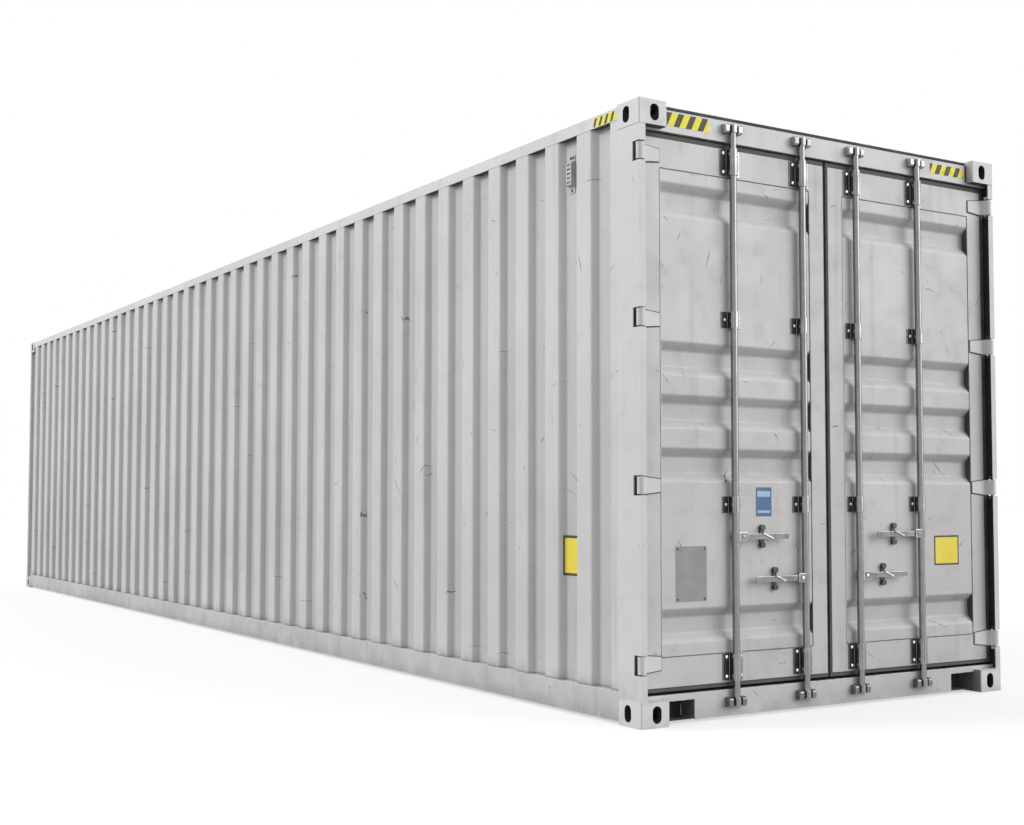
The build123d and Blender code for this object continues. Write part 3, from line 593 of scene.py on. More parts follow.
# Extends the end of a strip: the corners that pass a test are pulled on, fold by fold
def pull_end(piece, at_end, steps):
    edit_where(piece, "VERT", at_end)
    bpy.ops.mesh.select_mode(type="EDGE")
    for step in steps:
        bpy.ops.mesh.extrude_edges_move(TRANSFORM_OT_translate={"value": step})
    close_edit()


# Rounds the folds, then gives the sheet its thickness and even shading, and hands it over
def finish_sheet(piece, material, steel, radius, inward, node=None, body=fixed):
    use_materials(piece, material)
    choose(piece)
    folds = {"limit_method": "ANGLE", "angle_limit": math.radians(20)}
    apply_modifier(piece, "BEVEL", width=radius, segments=3, **folds)
    bpy.ops.object.mode_set(mode="EDIT")
    bpy.ops.mesh.select_all(action="SELECT")
    bpy.ops.mesh.remove_doubles(threshold=0.00001)
    sheet = bmesh.from_edit_mesh(piece.data)
    if sum(face.normal.dot(Vector(inward)) * face.calc_area() for face in sheet.faces) > 0:
        bpy.ops.mesh.flip_normals()
    close_edit()
    apply_modifier(piece, "SOLIDIFY", thickness=steel, offset=-1.0)
    bpy.ops.object.shade_smooth_by_angle(angle=math.radians(35))
    apply_modifier(piece, "WEIGHTED_NORMAL", keep_sharp=True)
    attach(piece, body)
    if node:
        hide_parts(node)


for side, outward in both_sides:
    wall_low, wall_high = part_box(f"side_wall_{side}")
    outer_x = wall_low.x if outward < 0 else wall_high.x
    deep = -outward * wall_depth
    flat = wall_pitch - 2 * wall_slope - wall_floor
    first_y = wall_low.y + wall_first
    wall = folded_strip(
        f"side_wall_{side}_sheet",
        (outer_x, first_y, wall_low.z),
        ((deep, wall_slope, 0.0), (0.0, wall_floor, 0.0), (-deep, wall_slope, 0.0), (0.0, flat, 0.0)),
        (0.0, 0.0, wall_high.z - wall_low.z),
    )
    repeat_strip(wall, wall_recess_count, (0.0, wall_pitch, 0.0))
    last_y = first_y + wall_recess_count * wall_pitch
    tail = wall_high.y - last_y - wall_slope
    last_steps = (deep, wall_slope, 0.0), (0.0, tail, 0.0)
    pull_end(wall, lambda corner: corner.co.y < first_y + at_edge, ((0.0, -wall_first, 0.0),))
    pull_end(wall, lambda corner: corner.co.y > last_y - at_edge, last_steps)
    inward = (-outward, 0.0, 0.0)
    finish_sheet(wall, wall_paint, wall_steel, bend_radius, inward, f"side_wall_{side}")

# Ventilators: louvred hoods on thin plates, each screwed into a recess near the top of the
# wall, painted with it. The side that faces the doors is painted darker as shade.
vent_paint = painted_steel("vent_paint", (0.60, 0.60, 0.60), amount=0.6, share=0.0, waves=0.1)
vent_shade = dark_finish("vent_shade", (0.27, 0.27, 0.27))
screw_metal = dark_finish("screw_metal", (0.06, 0.06, 0.058), roughness=0.45)


def point_to(piece, way):
    piece.rotation_mode = "QUATERNION"
    piece.rotation_quaternion = Vector(way).to_track_quat("Z", "Y")


# A round-headed bolt: a cylinder whose top is drawn in twice and lifted to a dome
def round_head(radius, height, axis, sides=16):
    add = bpy.ops.mesh.primitive_cylinder_add
    head = new_piece(add, vertices=sides, radius=radius, depth=height, location=(0, 0, 0))
    edit_where(head, "FACE", lambda face: face.normal.z > square_on)
    for draw_in, lift in ((0.25, 0.35), (0.4, 0.15)):
        bpy.ops.mesh.inset(thickness=radius * draw_in)
        bpy.ops.transform.translate(value=(0.0, 0.0, height * lift))
    close_edit()
    point_to(head, axis)
    bpy.ops.object.transform_apply()
    bpy.ops.object.shade_smooth_by_angle(angle=math.radians(50))
    return head


# Copies of one piece, each with its own mesh, joined into a set that rides on one body
def make_set(name, model, offsets, material, body=fixed):
    copies = []
    for offset in offsets:
        choose(model)
        bpy.ops.object.duplicate()
        copy = bpy.context.active_object
        copy.location = offset
        bpy.ops.object.transform_apply()
        copies.append(copy)
    choose(copies[0])
    for copy in copies:
        copy.select_set(True)
    if len(copies) > 1:
        bpy.ops.object.join()
    piece = bpy.context.active_object
    piece.name = name
    piece.data.name = name
    use_materials(piece, material)
    bpy.data.objects.remove(model)
    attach(piece, body)


vent_edge = 0.002
vent_screw_inset = 0.014
vent_screw_apart = 0.011
vent_screw_lift = 0.005
for side, outward in both_sides:
    vent_low, vent_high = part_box(f"ventilator_{side}")

    # The side facing the doors takes painted shade
    def vent_face(centre, normal):
        return 1 if normal.y < -square_on and centre.y < vent_low.y + vent_edge else 0

    finishes = vent_paint, vent_shade
    finish_node(f"ventilator_{side}", finishes, 0.0012, vent_face, rim=-1)
    seat = vent_high.x if outward < 0 else vent_low.x
    screw_x = seat + outward * vent_screw_lift
    middle_y = (vent_low.y + vent_high.y) / 2
    screw_places = (
        (screw_x, middle_y, vent_low.z + vent_screw_inset),
        (screw_x, middle_y - vent_screw_apart, vent_high.z - vent_screw_inset),
        (screw_x, middle_y + vent_screw_apart, vent_high.z - vent_screw_inset),
    )
    screw = round_head(0.008, 0.004, (outward, 0.0, 0.0))
    make_set(f"ventilator_screws_{side}", screw, screw_places, screw_metal)

# Yellow height mark: a plain film with a dark border that runs over a bend of the side
# wall, with nothing printed on it.
mark_yellow = painted_steel("mark_yellow", (0.86, 0.70, 0.05), amount=0.25, share=0.0, waves=0.0)
mark_black = dark_finish("mark_black", (0.03, 0.028, 0.025), roughness=0.6)
mark_low_z = 0.662
mark_height = 0.198
mark_floor_run = 0.098
mark_bend = bend_radius * 1.2
mark_film = 0.0004
wall_low, wall_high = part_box("side_wall_left")
mark_x = wall_low.x + wall_depth
mark_bend_y = wall_low.y + wall_first + wall_pitch + wall_slope + wall_floor
# Each film stands off the wall, lies inside a margin and ends at a share of the slope
for name, material, lift, margin, share in (
    ("height_mark_border", mark_black, 0.0006, 0.0, 0.46),
    ("height_mark_film", mark_yellow, 0.0016, 0.013, 0.24),
):
    film = folded_strip(
        name,
        (mark_x - lift, mark_bend_y - mark_floor_run, mark_low_z + margin),
        ((0.0, mark_floor_run, 0.0), (-wall_depth * share, wall_slope * share, 0.0)),
        (0.0, 0.0, mark_height - 2 * margin),
    )
    finish_sheet(film, material, mark_film, mark_bend, (1.0, 0.0, 0.0))

# Front wall: the same steel sheet, folded a little deeper and welded across the closed end
# between its posts and rails.
front_pitch = 0.248
front_recess_count = 8
front_slope = 0.028
front_floor = 0.100
front_depth = 0.045
front_low, front_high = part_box("front_wall")
front_flat = front_pitch - 2 * front_slope - front_floor
front_first = -((front_recess_count - 1) * front_pitch + 2 * front_slope + front_floor) / 2
front_wall = folded_strip(
    "front_wall_sheet",
    (front_first, front_high.y, front_low.z),
    (
        (front_slope, -front_depth, 0.0),
        (front_floor, 0.0, 0.0),
        (front_slope, front_depth, 0.0),
        (front_flat, 0.0, 0.0),
    ),
    (0.0, 0.0, front_high.z - front_low.z),
)
repeat_strip(front_wall, front_recess_count, (front_pitch, 0.0, 0.0))
front_last = front_first + front_recess_count * front_pitch
left_run = ((front_low.x - front_first, 0.0, 0.0),)
right_run = ((front_high.x - front_last, 0.0, 0.0),)
pull_end(front_wall, lambda corner: corner.co.x < front_first + at_edge, left_run)
pull_end(front_wall, lambda corner: corner.co.x > front_last - at_edge, right_run)
finish_sheet(front_wall, wall_paint, wall_steel, bend_radius, (0.0, -1.0, 0.0), "front_wall")

# Front end rails: box sections that close the front end above and below its wall, welded
# between the castings and painted like the posts.
for node in ("front_top_rail", "front_bottom_rail"):
    finish_node(node, (frame_paint, frame_edge), 0.003)

# Roof: one sheet pressed into cross ribs, so that rain runs off, welded inside the rails.
# Its paint has weathered dull and is stained all over.
roof_paint = painted_steel("roof_paint", (0.47, 0.47, 0.465), amount=0.9, share=0.5, waves=1.6)
finish_node("roof_panel", (roof_paint,), 0.004)


# Floor: plywood boards screwed down to cross members, which are channels from rail to rail
# in a dark underside coating. Boards are scuffed, with dark joints and rows of screws.
def make_plywood():
    material, tree, shader, place = new_material("floor_plywood")
    grain = noise(tree, place, 26.0, 6.0, stretch=(1.0, 0.07, 1.0))
    colour = mix_colour(tree, between(tree, grain, 0.3, 0.7), plywood_dark, plywood_light)
    scuffs = between(tree, noise(tree, place, 3.0, 6.0), 0.5, 0.7)
    colour = stain(tree, colour, scuffs, 0.45, plywood_worn)
    joints = []
    for level, pitch in zip(axes(tree, place), (board_width, board_length)):
        half = maths(tree, "ADD", maths(tree, "DIVIDE", level, pitch), 0.5)
        from_joint = maths(tree, "ABSOLUTE", maths(tree, "SUBTRACT", maths(tree, "FRACT", half), 0.5))
        joints.append(maths(tree, "LESS_THAN", from_joint, joint_width / pitch))
    joint = maths(tree, "MAXIMUM", *joints)
    colour = stain(tree, colour, joint, 0.85, scrape_black)
    set_surface(tree, shader, colour, between(tree, grain, 0.3, 0.7, 0.5, 0.7))
    height = maths(tree, "ADD", times(tree, grain, 0.3), times(tree, joint, -1.0))
    raise_surface(tree, shader, height, 0.002)
    return material


plywood_dark = (0.13, 0.075, 0.042)
plywood_light = (0.27, 0.165, 0.095)
plywood_worn = (0.30, 0.25, 0.20)
board_width = 0.583
board_length = 2.41
joint_width = 0.0025
finish_node("floor_boards", (make_plywood(),), 0.0015)
floor_low, floor_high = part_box("floor_boards")
screw_rows = 18
screw_columns = 8
screw_inset = 0.06
screw_shift = 0.04
screw_z = floor_high.z + 0.0004
row_pitch = (floor_high.y - floor_low.y - 2 * screw_inset) / (screw_rows - 1)
screw_places = []
for row in range(screw_rows):
    for column in range(screw_columns):
        column_x = (column - (screw_columns - 1) / 2) * board_width / 2
        screw_places.append((column_x + screw_shift, floor_low.y + screw_inset + row * row_pitch, screw_z))
screw_head = round_head(0.009, 0.0012, (0.0, 0.0, 1.0), sides=10)
make_set("floor_screws", screw_head, screw_places, screw_metal)
underside = dark_finish("underside_coating", (0.035, 0.033, 0.03), roughness=0.75, grain=40.0)
finish_node("cross_members", (underside,), 0.0015, segments=1)

# Door header and sill: a box above the doors and a channel below them, welded between the
# castings. A black strip of painted shade runs under the roof's edge, painted shade lies on
# the header's underside, the sill's top is near black, and grime lies at the header's right
# end and where the castings are welded on.
# Painted shade for the strip under the roof's edge
header_edge_shade = dark_finish("header_edge_shade", (0.012, 0.012, 0.012), roughness=0.7)
shade_strip_height = 0.0206
# Painted shade for the header's underside
header_shade = dark_finish("header_shade", (0.40, 0.39, 0.38))
header_foot = 0.01


def header_face(centre, normal):
    if centre.z > header_high.z - shade_strip_height:
        return 2
    return 3 if normal.z < -0.5 and centre.z < header_low.z + header_foot else 0


finish_node("door_header", (frame_paint, frame_edge, header_edge_shade, header_shade), 0.0025, header_face)
sill_grey = (0.57, 0.565, 0.56)
sill_paint = painted_steel("sill_paint", sill_grey, amount=0.5, dust=(0.0, 0.16), dusty=0.3, share=0.7)
# Near black for the sill's top, and for the grime at the header's right end
near_black = dark_finish("near_black", (0.045, 0.043, 0.04))
sill_top_z = 0.13


def sill_face(centre, normal):
    return 2 if normal.z > square_on and centre.z > sill_top_z else 0


finish_node("door_sill", (sill_paint, rail_edge, near_black), 0.0025, sill_face)
joint_grime = dark_finish("joint_grime", (0.15, 0.145, 0.14))
joint_foot = 0.1135
joint_head = 0.1170
joint_film = 0.0004
joint_side_x = 1.21875
joint_end_y = -6.0958
grime_plates = [
    ("header_end_grime", 1, header_film_y, (1.043, 2.781), (1.0575, 2.872), film_thickness, near_black)
]
for side, outward in both_sides:
    side_place = 0, outward * joint_side_x, (-6.094, joint_foot), (-5.920, joint_head)
    end_place = 1, joint_end_y, (outward * 1.217, joint_foot), (outward * 1.060, joint_head)
    grime_plates += [
        (f"casting_joint_side_{side}", *side_place, joint_film, joint_grime),
        (f"casting_joint_end_{side}", *end_place, joint_film, joint_grime),
    ]
for plate in grime_plates:
    thin_plate(*plate)

# Sill pockets: steel plates that close the cut-outs beside the bottom castings at the back,
# below and on the inner side, welded to the sill. They are painted dark as the shade inside
# the pockets.
pocket_shade = dark_finish("pocket_shade", (0.045, 0.042, 0.04), roughness=0.85, grain=30.0)
pocket_side_shade = dark_finish("pocket_side_shade", (0.15, 0.145, 0.14), roughness=0.85, grain=30.0)
pocket_foot = 0.016
pocket_casting_x = 1.055
for side, outward in both_sides:
    casting_x = outward * pocket_casting_x
    side_x = outward * 0.8725
    for name, axis, level, low, high, steel, finish in (
        ("back", 1, -5.941, (outward * 0.872, pocket_foot), (casting_x, 0.116), 0.005, pocket_shade),
        ("floor", 2, pocket_foot, (outward * 0.880, -6.040), (casting_x, -5.944), 0.004, pocket_shade),
        ("side", 0, side_x, (-6.043, 0.020), (-5.944, 0.130), 0.004, pocket_side_shade),
    ):
        thin_plate(f"sill_pocket_{name}_{side}", axis, level, low, high, steel, finish)


# Cam keepers: forged jaws welded to the header and the sill, which hold the cams of the
# bars. Zinc-coated, with a painted highlight where they face the left and painted shade
# below. The bottom ones are a step darker all over.
def zinc(name, colour, roughness, mottle, metallic=1.0):
    material, tree, shader, place = new_material(name)
    darker = tuple(value * (1.0 - mottle) for value in colour)
    cloud = noise(tree, place, 16.0, 5.0)
    clouded = mix_colour(tree, between(tree, cloud, 0.35, 0.7), colour, darker)
    dullness = between(tree, cloud, 0.3, 0.7, roughness - 0.03, roughness + 0.05)
    set_surface(tree, shader, clouded, dullness)
    shader.inputs["Metallic"].default_value = metallic
    return material


keeper_zinc = zinc("keeper_zinc", (0.27, 0.27, 0.27), 0.30, 0.3)
bright_zinc = zinc("bright_zinc", (0.80, 0.81, 0.81), 0.26, 0.15)
# Painted shade for the keepers' undersides and the brackets' left flanges
zinc_shade = zinc("zinc_shade", (0.035, 0.035, 0.036), 0.42, 0.4, 0.6)
dull_zinc = zinc("dull_zinc", (0.17, 0.165, 0.16), 0.34, 0.3)
# Pale zinc for worn rims, tabs and bolts, also a painted highlight on faces turned to the left
worn_zinc_and_highlight = zinc("worn_zinc_and_highlight", (0.42, 0.42, 0.42), 0.28, 0.2)


# Faces turned to the left take a painted highlight, undersides take painted shade
def keeper_face(centre, normal):
    if normal.x < -square_on:
        return 1
    return 2 if normal.z < -square_on else 0


for level, jaw, side_zinc in (("top", keeper_zinc, worn_zinc_and_highlight), ("bottom", dull_zinc, keeper_zinc)):
    finishes = jaw, side_zinc, zinc_shade
    finish_node(f"cam_keepers_{level}", finishes, 0.003, keeper_face)

# Doors: each leaf is a welded frame of tubes and channels with a pressed sheet let into it.
# The frame is a shade darker than the sheet, whose grooves run across it between slopes.
door_grey = (0.63, 0.62, 0.615)
leaf_grey = (0.61, 0.60, 0.595)
door_paint = painted_steel("door_paint", door_grey, 0.4, (0.25, 0.5), 0.1, share=0.9, bottom_darkening=0.15)
leaf_paint = painted_steel("leaf_paint", leaf_grey, 0.4, (0.15, 0.35), 0.15, share=0.6, bottom_darkening=0.11)
leaf_edge = rubbed_edge("leaf_edge", (0.62, 0.615, 0.61), chips=0.3)
# Painted shade for frame sides that face the sheet, and dark welds round the hinge blades
weld_and_shade_dark = dark_finish("weld_and_shade_dark", (0.05, 0.047, 0.045))
sheet_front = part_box("left_door_panel")[0].y
# Painted shade in the floors of the door sheet's grooves
darken_towards(door_paint, 1, sheet_front + 0.006, sheet_front + 0.026, 0.15)
opening_edges = (0.116, 1.061)
edge_reach = 0.002
panel_steel = 0.003
panel_bend = 0.007


# Frame sides that face the sheet and point to the left take painted shade
def frame_face(centre, normal):
    facing_sheet = any(abs(abs(centre.x) - edge) < edge_reach for edge in opening_edges)
    return 2 if facing_sheet and normal.x < -square_on else 0


groove_height = 0.156
groove_slope = 0.040
groove_depth = 0.036
groove_centres = (0.449, 1.2005, 1.4505, 1.7005, 2.454)
for body in ("left_door", "right_door"):
    finishes = leaf_paint, leaf_edge, weld_and_shade_dark
    finish_node(f"{body}_frame", finishes, 0.0025, frame_face, body=body)
    panel_low, panel_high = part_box(f"{body}_panel")
    steps = []
    level = panel_low.z
    for groove_z in groove_centres:
        steps += [
            (0.0, 0.0, groove_z - groove_height / 2 - level),
            (0.0, groove_depth, groove_slope),
            (0.0, 0.0, groove_height - 2 * groove_slope),
            (0.0, -groove_depth, groove_slope),
        ]
        level = groove_z + groove_height / 2
    steps.append((0.0, 0.0, panel_high.z - level))
    panel = folded_strip(f"{body}_sheet", panel_low, steps, (panel_high.x - panel_low.x, 0.0, 0.0))
    inward = (0.0, 1.0, 0.0)
    finish_sheet(panel, door_paint, panel_steel, panel_bend, inward, f"{body}_panel", body)

# Weld seams: thin uneven beads in the corner between each door sheet and its frame. They
# are painted dark as shade above, below and on the right, and painted over on the left.
seam_shade = dark_finish("seam_shade", (0.13, 0.125, 0.12))
seam_step = 0.03
seam_radius = 0.0028


def make_seam(name, start, end, material, body):
    run = Vector(end) - Vector(start)
    add = bpy.ops.mesh.primitive_cylinder_add
    seam = new_piece(add, vertices=6, radius=seam_radius, depth=run.length, location=(0, 0, 0))
    seam.name = name

    def runs_along(edge):
        return abs((edge.verts[0].co - edge.verts[1].co).normalized().z) > square_on

    edit_where(seam, "EDGE", runs_along)
    bpy.ops.mesh.subdivide(number_cuts=int(run.length / seam_step))
    bpy.ops.mesh.select_all(action="SELECT")
    bpy.ops.transform.vertex_random(offset=seam_radius * 0.35, seed=len(name))
    close_edit()
    point_to(seam, run)
    seam.location = (Vector(start) + Vector(end)) / 2
    bpy.ops.object.transform_apply()
    bpy.ops.object.shade_smooth()
    use_materials(seam, material)
    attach(seam, body)


for body in ("left_door", "right_door"):
    (west, front, foot), (east, back, head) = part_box(f"{body}_panel")
    for edge_name, start_x, start_z, end_x, end_z, material in (
        ("top", west, head, east, head, seam_shade),
        ("bottom", west, foot, east, foot, seam_shade),
        ("low", west, foot, west, head, leaf_paint),
        ("high", east, foot, east, head, seam_shade),
    ):
        start, end = (start_x, front, start_z), (end_x, front, end_z)
        make_seam(f"{body}_seam_{edge_name}", start, end, material, body)

# Door gasket: a lipped rubber strip round each leaf, dark grey and dusty, that closes the
# gap to the posts, the header, the sill and the other leaf.
rubber = dark_finish("door_rubber", (0.065, 0.063, 0.06), roughness=0.75)
for body in ("left_door", "right_door"):
    finish_node(f"{body}_gasket", (rubber,), 0.003, body=body)

# Hinges: forged blades welded to the leaf, wrapped round pins in the post. They are the
# palest steel on the doors, and a dark weld line, partly painted shade, shows round each
# blade.
hinge_white = (0.63, 0.635, 0.635)
hinge_paint = painted_steel("hinge_paint", hinge_white, amount=0.25, share=0.2, waves=0.1)
hinge_edge = rubbed_edge("hinge_edge", hinge_white)
hinge_tall = 0.080
middle_hinges = (1.102, 1.876)
weld_margin = 0.005
weld_depth = 0.003
weld_lift = 0.001
weld_taper = 0.76
for side, outward in both_sides:
    body = f"{side}_door"
    finish_node(f"{body}_hinges", (hinge_paint, hinge_edge), 0.0015, body=body)
    hinge_low, hinge_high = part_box(f"{body}_hinges")
    leaf_low, leaf_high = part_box(f"{body}_frame")
    blade_in = hinge_high.x if outward < 0 else hinge_low.x
    leaf_edge_x = leaf_low.x if outward < 0 else leaf_high.x
    weld_length = abs(leaf_edge_x - blade_in) + weld_margin
    # A dark plate round each blade stands for its weld and the shade in the gap
    weld = new_block((weld_length, weld_depth, hinge_tall + 2 * weld_margin))
    edit_where(weld, "VERT", lambda corner: corner.co.x * outward < 0)
    bpy.ops.transform.resize(value=(1.0, 1.0, weld_taper))
    close_edit()
    soften_edges(weld, 0.001, 1)
    weld_x = blade_in + outward * (weld_length / 2 - weld_margin)
    weld_y = leaf_low.y - weld_lift
    levels = (hinge_low.z + hinge_tall / 2, *middle_hinges, hinge_high.z - hinge_tall / 2)
    weld_places = [(weld_x, weld_y, level) for level in levels]
    make_set(f"{body}_hinge_welds_and_shade", weld, weld_places, weld_and_shade_dark, body)

# Data plate and plain patches: thin pieces fixed to the door sheets with nothing printed on
# them. The plate is bare dull metal with a rivet in each corner, the patches are film.
plate_metal = zinc("plate_metal", (0.29, 0.287, 0.28), 0.5, 0.12, 0.0)
plate_steel = 0.0012
plate_low = (-0.978, 0.559)
plate_high = (-0.792, 0.818)
plate_place = 1, sheet_front - plate_steel / 2, plate_low, plate_high, plate_steel
thin_plate("data_plate", *plate_place, plate_metal, "left_door", "galvanised_steel")
rivet_inset = 0.012
rivet_y = sheet_front - plate_steel - 0.001
rivet_places = [
    (x, rivet_y, z)
    for x in (plate_low[0] + rivet_inset, plate_high[0] - rivet_inset)
    for z in (plate_low[1] + rivet_inset, plate_high[1] - rivet_inset)
]
rivet = round_head(0.005, 0.003, (0.0, -1.0, 0.0), sides=12)
make_set("data_plate_rivets", rivet, rivet_places, screw_metal, "left_door")
patch_blue = painted_steel("patch_blue", (0.045, 0.13, 0.29), share=0.0, waves=0.0)
patch_light = painted_steel("patch_light", (0.42, 0.52, 0.66), share=0.0, waves=0.0)
under = sheet_front - film_thickness / 2
over = sheet_front - film_thickness * 1.2
for name, level, low, high, film, body in (
    ("blue_patch", under, (-0.483, 0.955), (-0.382, 1.0965), patch_blue, "left_door"),
    ("blue_patch_band_1", over, (-0.474, 0.972), (-0.391, 0.984), patch_light, "left_door"),
    ("blue_patch_band_2", over, (-0.474, 1.050), (-0.391, 1.078), patch_light, "left_door"),
    ("yellow_patch_border", under, (0.766, 0.6865), (0.956, 0.844), mark_black, "right_door"),
    ("yellow_patch", over, (0.775, 0.6955), (0.947, 0.835), mark_yellow, "right_door"),
):
    thin_plate(name, 1, level, low, high, film_thickness, film, body, "door_paint")

# Locking bars: zinc-coated tubes with forged cams that hook behind the keepers, turned by
# a flat handle. It is bolted to a hub, with a bright-edged plate over the joint.
bar_zinc = zinc("bar_zinc", (0.25, 0.252, 0.252), 0.24, 0.12)
bar_places = {
    "left": {"outer": -0.637, "inner": -0.187},
    "right": {"inner": 0.187, "outer": 0.637},
}
hub_front = -6.0893
hub_plate_steel = 0.005
hub_plate_ends = (0.010, 0.060)
hub_half_height = 0.022
hub_bolt_reach = 0.035
hub_bolt_y = -6.0918
for side in ("left", "right"):
    for place, bolt_zinc in (("outer", keeper_zinc), ("inner", bright_zinc)):
        body = f"{side}_{place}_bar"
        bar_node = f"locking_bar_{side}_{place}"
        handle_node = f"handle_{side}_{place}"
        # Bars and handles have pale rims, partly wear and partly a painted highlight
        finish_node(bar_node, (bar_zinc, worn_zinc_and_highlight), 0.0012, body=body)
        finish_node(handle_node, (dull_zinc, worn_zinc_and_highlight), body=body)
        handle_low, handle_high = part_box(handle_node)
        bar_x = bar_places[side][place]
        towards = math.copysign(1.0, handle_low.x + handle_high.x - 2 * bar_x)
        handle_z = (handle_low.z + handle_high.z) / 2
        near_x, far_x = [bar_x + towards * reach for reach in hub_plate_ends]
        low, high = (near_x, handle_z - hub_half_height), (far_x, handle_z + hub_half_height)
        plate_place = 1, hub_front, low, high, hub_plate_steel
        plate_name = f"handle_hub_plate_{side}_{place}"
        thin_plate(plate_name, *plate_place, dull_zinc, body, "galvanised_steel", bright_zinc)
        bolt = round_head(0.008, 0.004, (0.0, -1.0, 0.0), sides=12)
        bolt_place = (bar_x + towards * hub_bolt_reach, hub_bolt_y, handle_z)
        bolt_name = f"handle_hub_bolt_{side}_{place}"
        make_set(bolt_name, bolt, [bolt_place], bolt_zinc, body)

# Bearing brackets: pressed saddles that hold each bar to the leaf with cup-headed bolts,
# two bolts a flange on the long ones and one on the short ones. Left flanges are painted
# dark as shade.
saddle_zinc = zinc("saddle_zinc", (0.25, 0.26, 0.25), 0.26, 0.2)
saddle_half = 0.0225
flange_steel = 0.0045
bracket_bolt = 0.006
# Bracket levels with the bolts' reach from the bar, and the bolts' lifts from the level
bracket_kinds = (
    ("long", ((0.244, 0.043), (2.668, 0.043)), (-0.046, 0.046), bright_zinc),
    ("short", ((1.013, 0.041), (1.901, 0.041)), (0.0,), worn_zinc_and_highlight),
)
for side in ("left", "right"):
    door_bars = tuple(bar_places[side].values())

    # Left flanges take painted shade
    def bracket_face(centre, normal):
        near = min(door_bars, key=lambda bar_x: abs(bar_x - centre.x))
        return 1 if centre.x < near - saddle_half else 0

    body = f"{side}_door"
    finishes = saddle_zinc, zinc_shade, worn_zinc_and_highlight
    finish_node(
        f"{body}_bar_brackets", finishes, 0.0014, bracket_face, rim=2, body=body
    )
    bolt_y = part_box(f"{body}_frame")[0].y - flange_steel - bracket_bolt / 2
    for kind, brackets, lifts, finish in bracket_kinds:
        bolt_places = [
            (bar_x + way * reach, bolt_y, level + lift)
            for bar_x in door_bars
            for level, reach in brackets
            for lift in lifts
            for way in (-1.0, 1.0)
        ]
        bolt = round_head(0.009, bracket_bolt, (0.0, -1.0, 0.0))
        make_set(f"{body}_bracket_bolts_{kind}", bolt, bolt_places, finish, body)

# Handle catches: forged cross bars with a knob at each end that keep the handles shut, and
# a short bright tab over each handle, flared at its end, that turns with the handle.
catch_iron = zinc("catch_iron", (0.07, 0.07, 0.072), 0.38, 0.4, 0.7)
for body in ("left_door", "right_door"):
    finishes = catch_iron, keeper_zinc
    finish_node(f"{body}_handle_catches", finishes, 0.0025, body=body)
tab_size = (0.058, 0.005, 0.008)
tab_flare = 0.010
tab_turn = math.radians(22.0)
tab_shift = 0.002
tab_lift = 0.004
for side, place, catch_x, catch_z in (
    ("left", "outer", -0.452, 0.859),
    ("left", "inner", -0.372, 0.652),
    ("right", "inner", 0.372, 0.652),
    ("right", "outer", 0.452, 0.859),
):
    tab = new_block(tab_size)
    edit_where(tab, "FACE", lambda face: face.normal.x > square_on)
    bpy.ops.mesh.extrude_region_move(TRANSFORM_OT_translate={"value": (tab_flare, 0.0, 0.0)})
    bpy.ops.transform.resize(value=(1.0, 1.0, 2.0))
    close_edit()
    tab.rotation_euler = (0.0, tab_turn, 0.0)
    bpy.ops.object.transform_apply()
    soften_edges(tab, 0.0016)
    tab_place = (catch_x + tab_shift, hub_front, catch_z + tab_lift)
    name, body = f"handle_tab_{side}_{place}", f"{side}_{place}_bar"
    make_set(name, tab, [tab_place], worn_zinc_and_highlight, body)


# The stage: a floor that looks white to the camera and throws little light back, plain soft
# lights from the right front and the left rear, and a white surround. None of it belongs to
# the container.
def seen_rays(tree):
    rays = new_node(tree, "ShaderNodeLightPath", {})
    seen = maths(tree, "MAXIMUM", rays["Is Camera Ray"], rays["Is Glossy Ray"])
    return maths(tree, "MAXIMUM", seen, rays["Is Transmission Ray"])


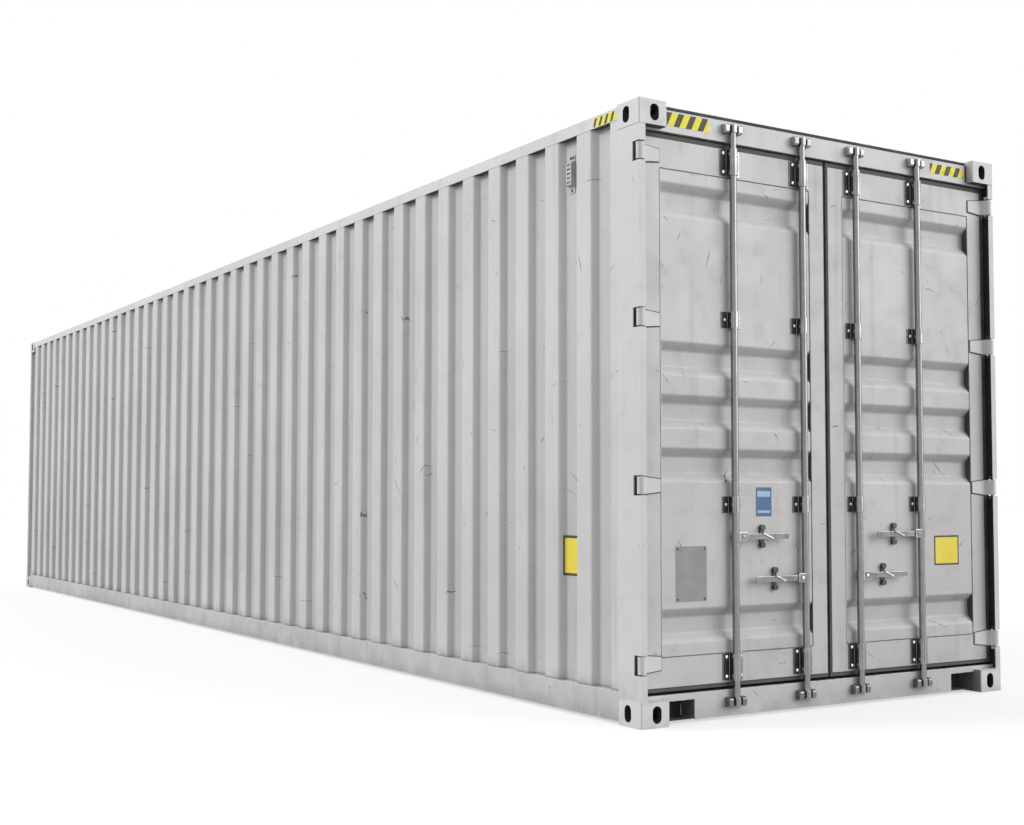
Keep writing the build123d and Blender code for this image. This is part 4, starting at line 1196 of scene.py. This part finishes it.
floor_size = 160.0
floor_z = -0.002
floor_seen_grey = (0.36, 0.36, 0.36)
floor_bounce_grey = (0.16, 0.16, 0.16)
floor_white = 0.6
add_plane = bpy.ops.mesh.primitive_plane_add
studio_floor = new_piece(add_plane, size=floor_size, location=(0.0, 0.0, floor_z))
studio_floor.name = "studio_floor"
floor_material, floor_tree, floor_shader, floor_place = new_material("studio_floor")
seen_floor = seen_rays(floor_tree)
floor_grey = mix_colour(floor_tree, seen_floor, floor_bounce_grey, floor_seen_grey)
floor_glow = times(floor_tree, seen_floor, floor_white)
link(floor_tree, floor_grey, floor_shader.inputs["Base Color"])
link(floor_tree, floor_glow, floor_shader.inputs["Emission Strength"])
floor_shader.inputs["Emission Color"].default_value = (1.0, 1.0, 1.0, 1.0)
floor_shader.inputs["Roughness"].default_value = 0.9
use_materials(studio_floor, floor_material)

world = bpy.context.scene.world or bpy.data.worlds.new("studio")
bpy.context.scene.world = world
world.use_nodes = True
sky = world.node_tree
sky.nodes.clear()
ambient_strength = 0.62
white_strength = 1.0
ambient, white = [
    new_node(sky, "ShaderNodeBackground", {"Color": (1.0, 1.0, 1.0), "Strength": strength})[0]
    for strength in (ambient_strength, white_strength)
]
blend = new_node(sky, "ShaderNodeMixShader", {0: seen_rays(sky), 1: ambient, 2: white})[0]
new_node(sky, "ShaderNodeOutputWorld", {0: blend})

for name, toward, strength, spread in (
    ("front_light", (0.62, -0.66, 0.42), 1.95, 50.0),
    ("side_light", (-0.73, 0.47, 0.49), 2.06, 30.0),
):
    lamp = bpy.data.lights.new(name, "SUN")
    lamp.energy = strength
    lamp.angle = math.radians(spread)
    holder = bpy.data.objects.new(name, lamp)
    bpy.context.scene.collection.objects.link(holder)
    point_to(holder, toward)

camera_place = (-5.0206, -11.2042, 1.0427)
camera_tilt = 3.015
camera_turn = -32.488
camera_data = bpy.data.cameras.new("camera")
camera_data.sensor_width = 36.0
camera_data.lens = 49.03
camera_data.shift_x = -0.0261
camera_data.shift_y = 0.0121
camera_data.clip_start = 0.1
camera_data.clip_end = 500.0
camera = bpy.data.objects.new("camera", camera_data)
camera.location = camera_place
camera.rotation_euler = (math.radians(90.0 + camera_tilt), 0.0, math.radians(camera_turn))
bpy.context.scene.collection.objects.link(camera)
bpy.context.scene.camera = camera
bpy.context.scene.view_settings.view_transform = "Standard"
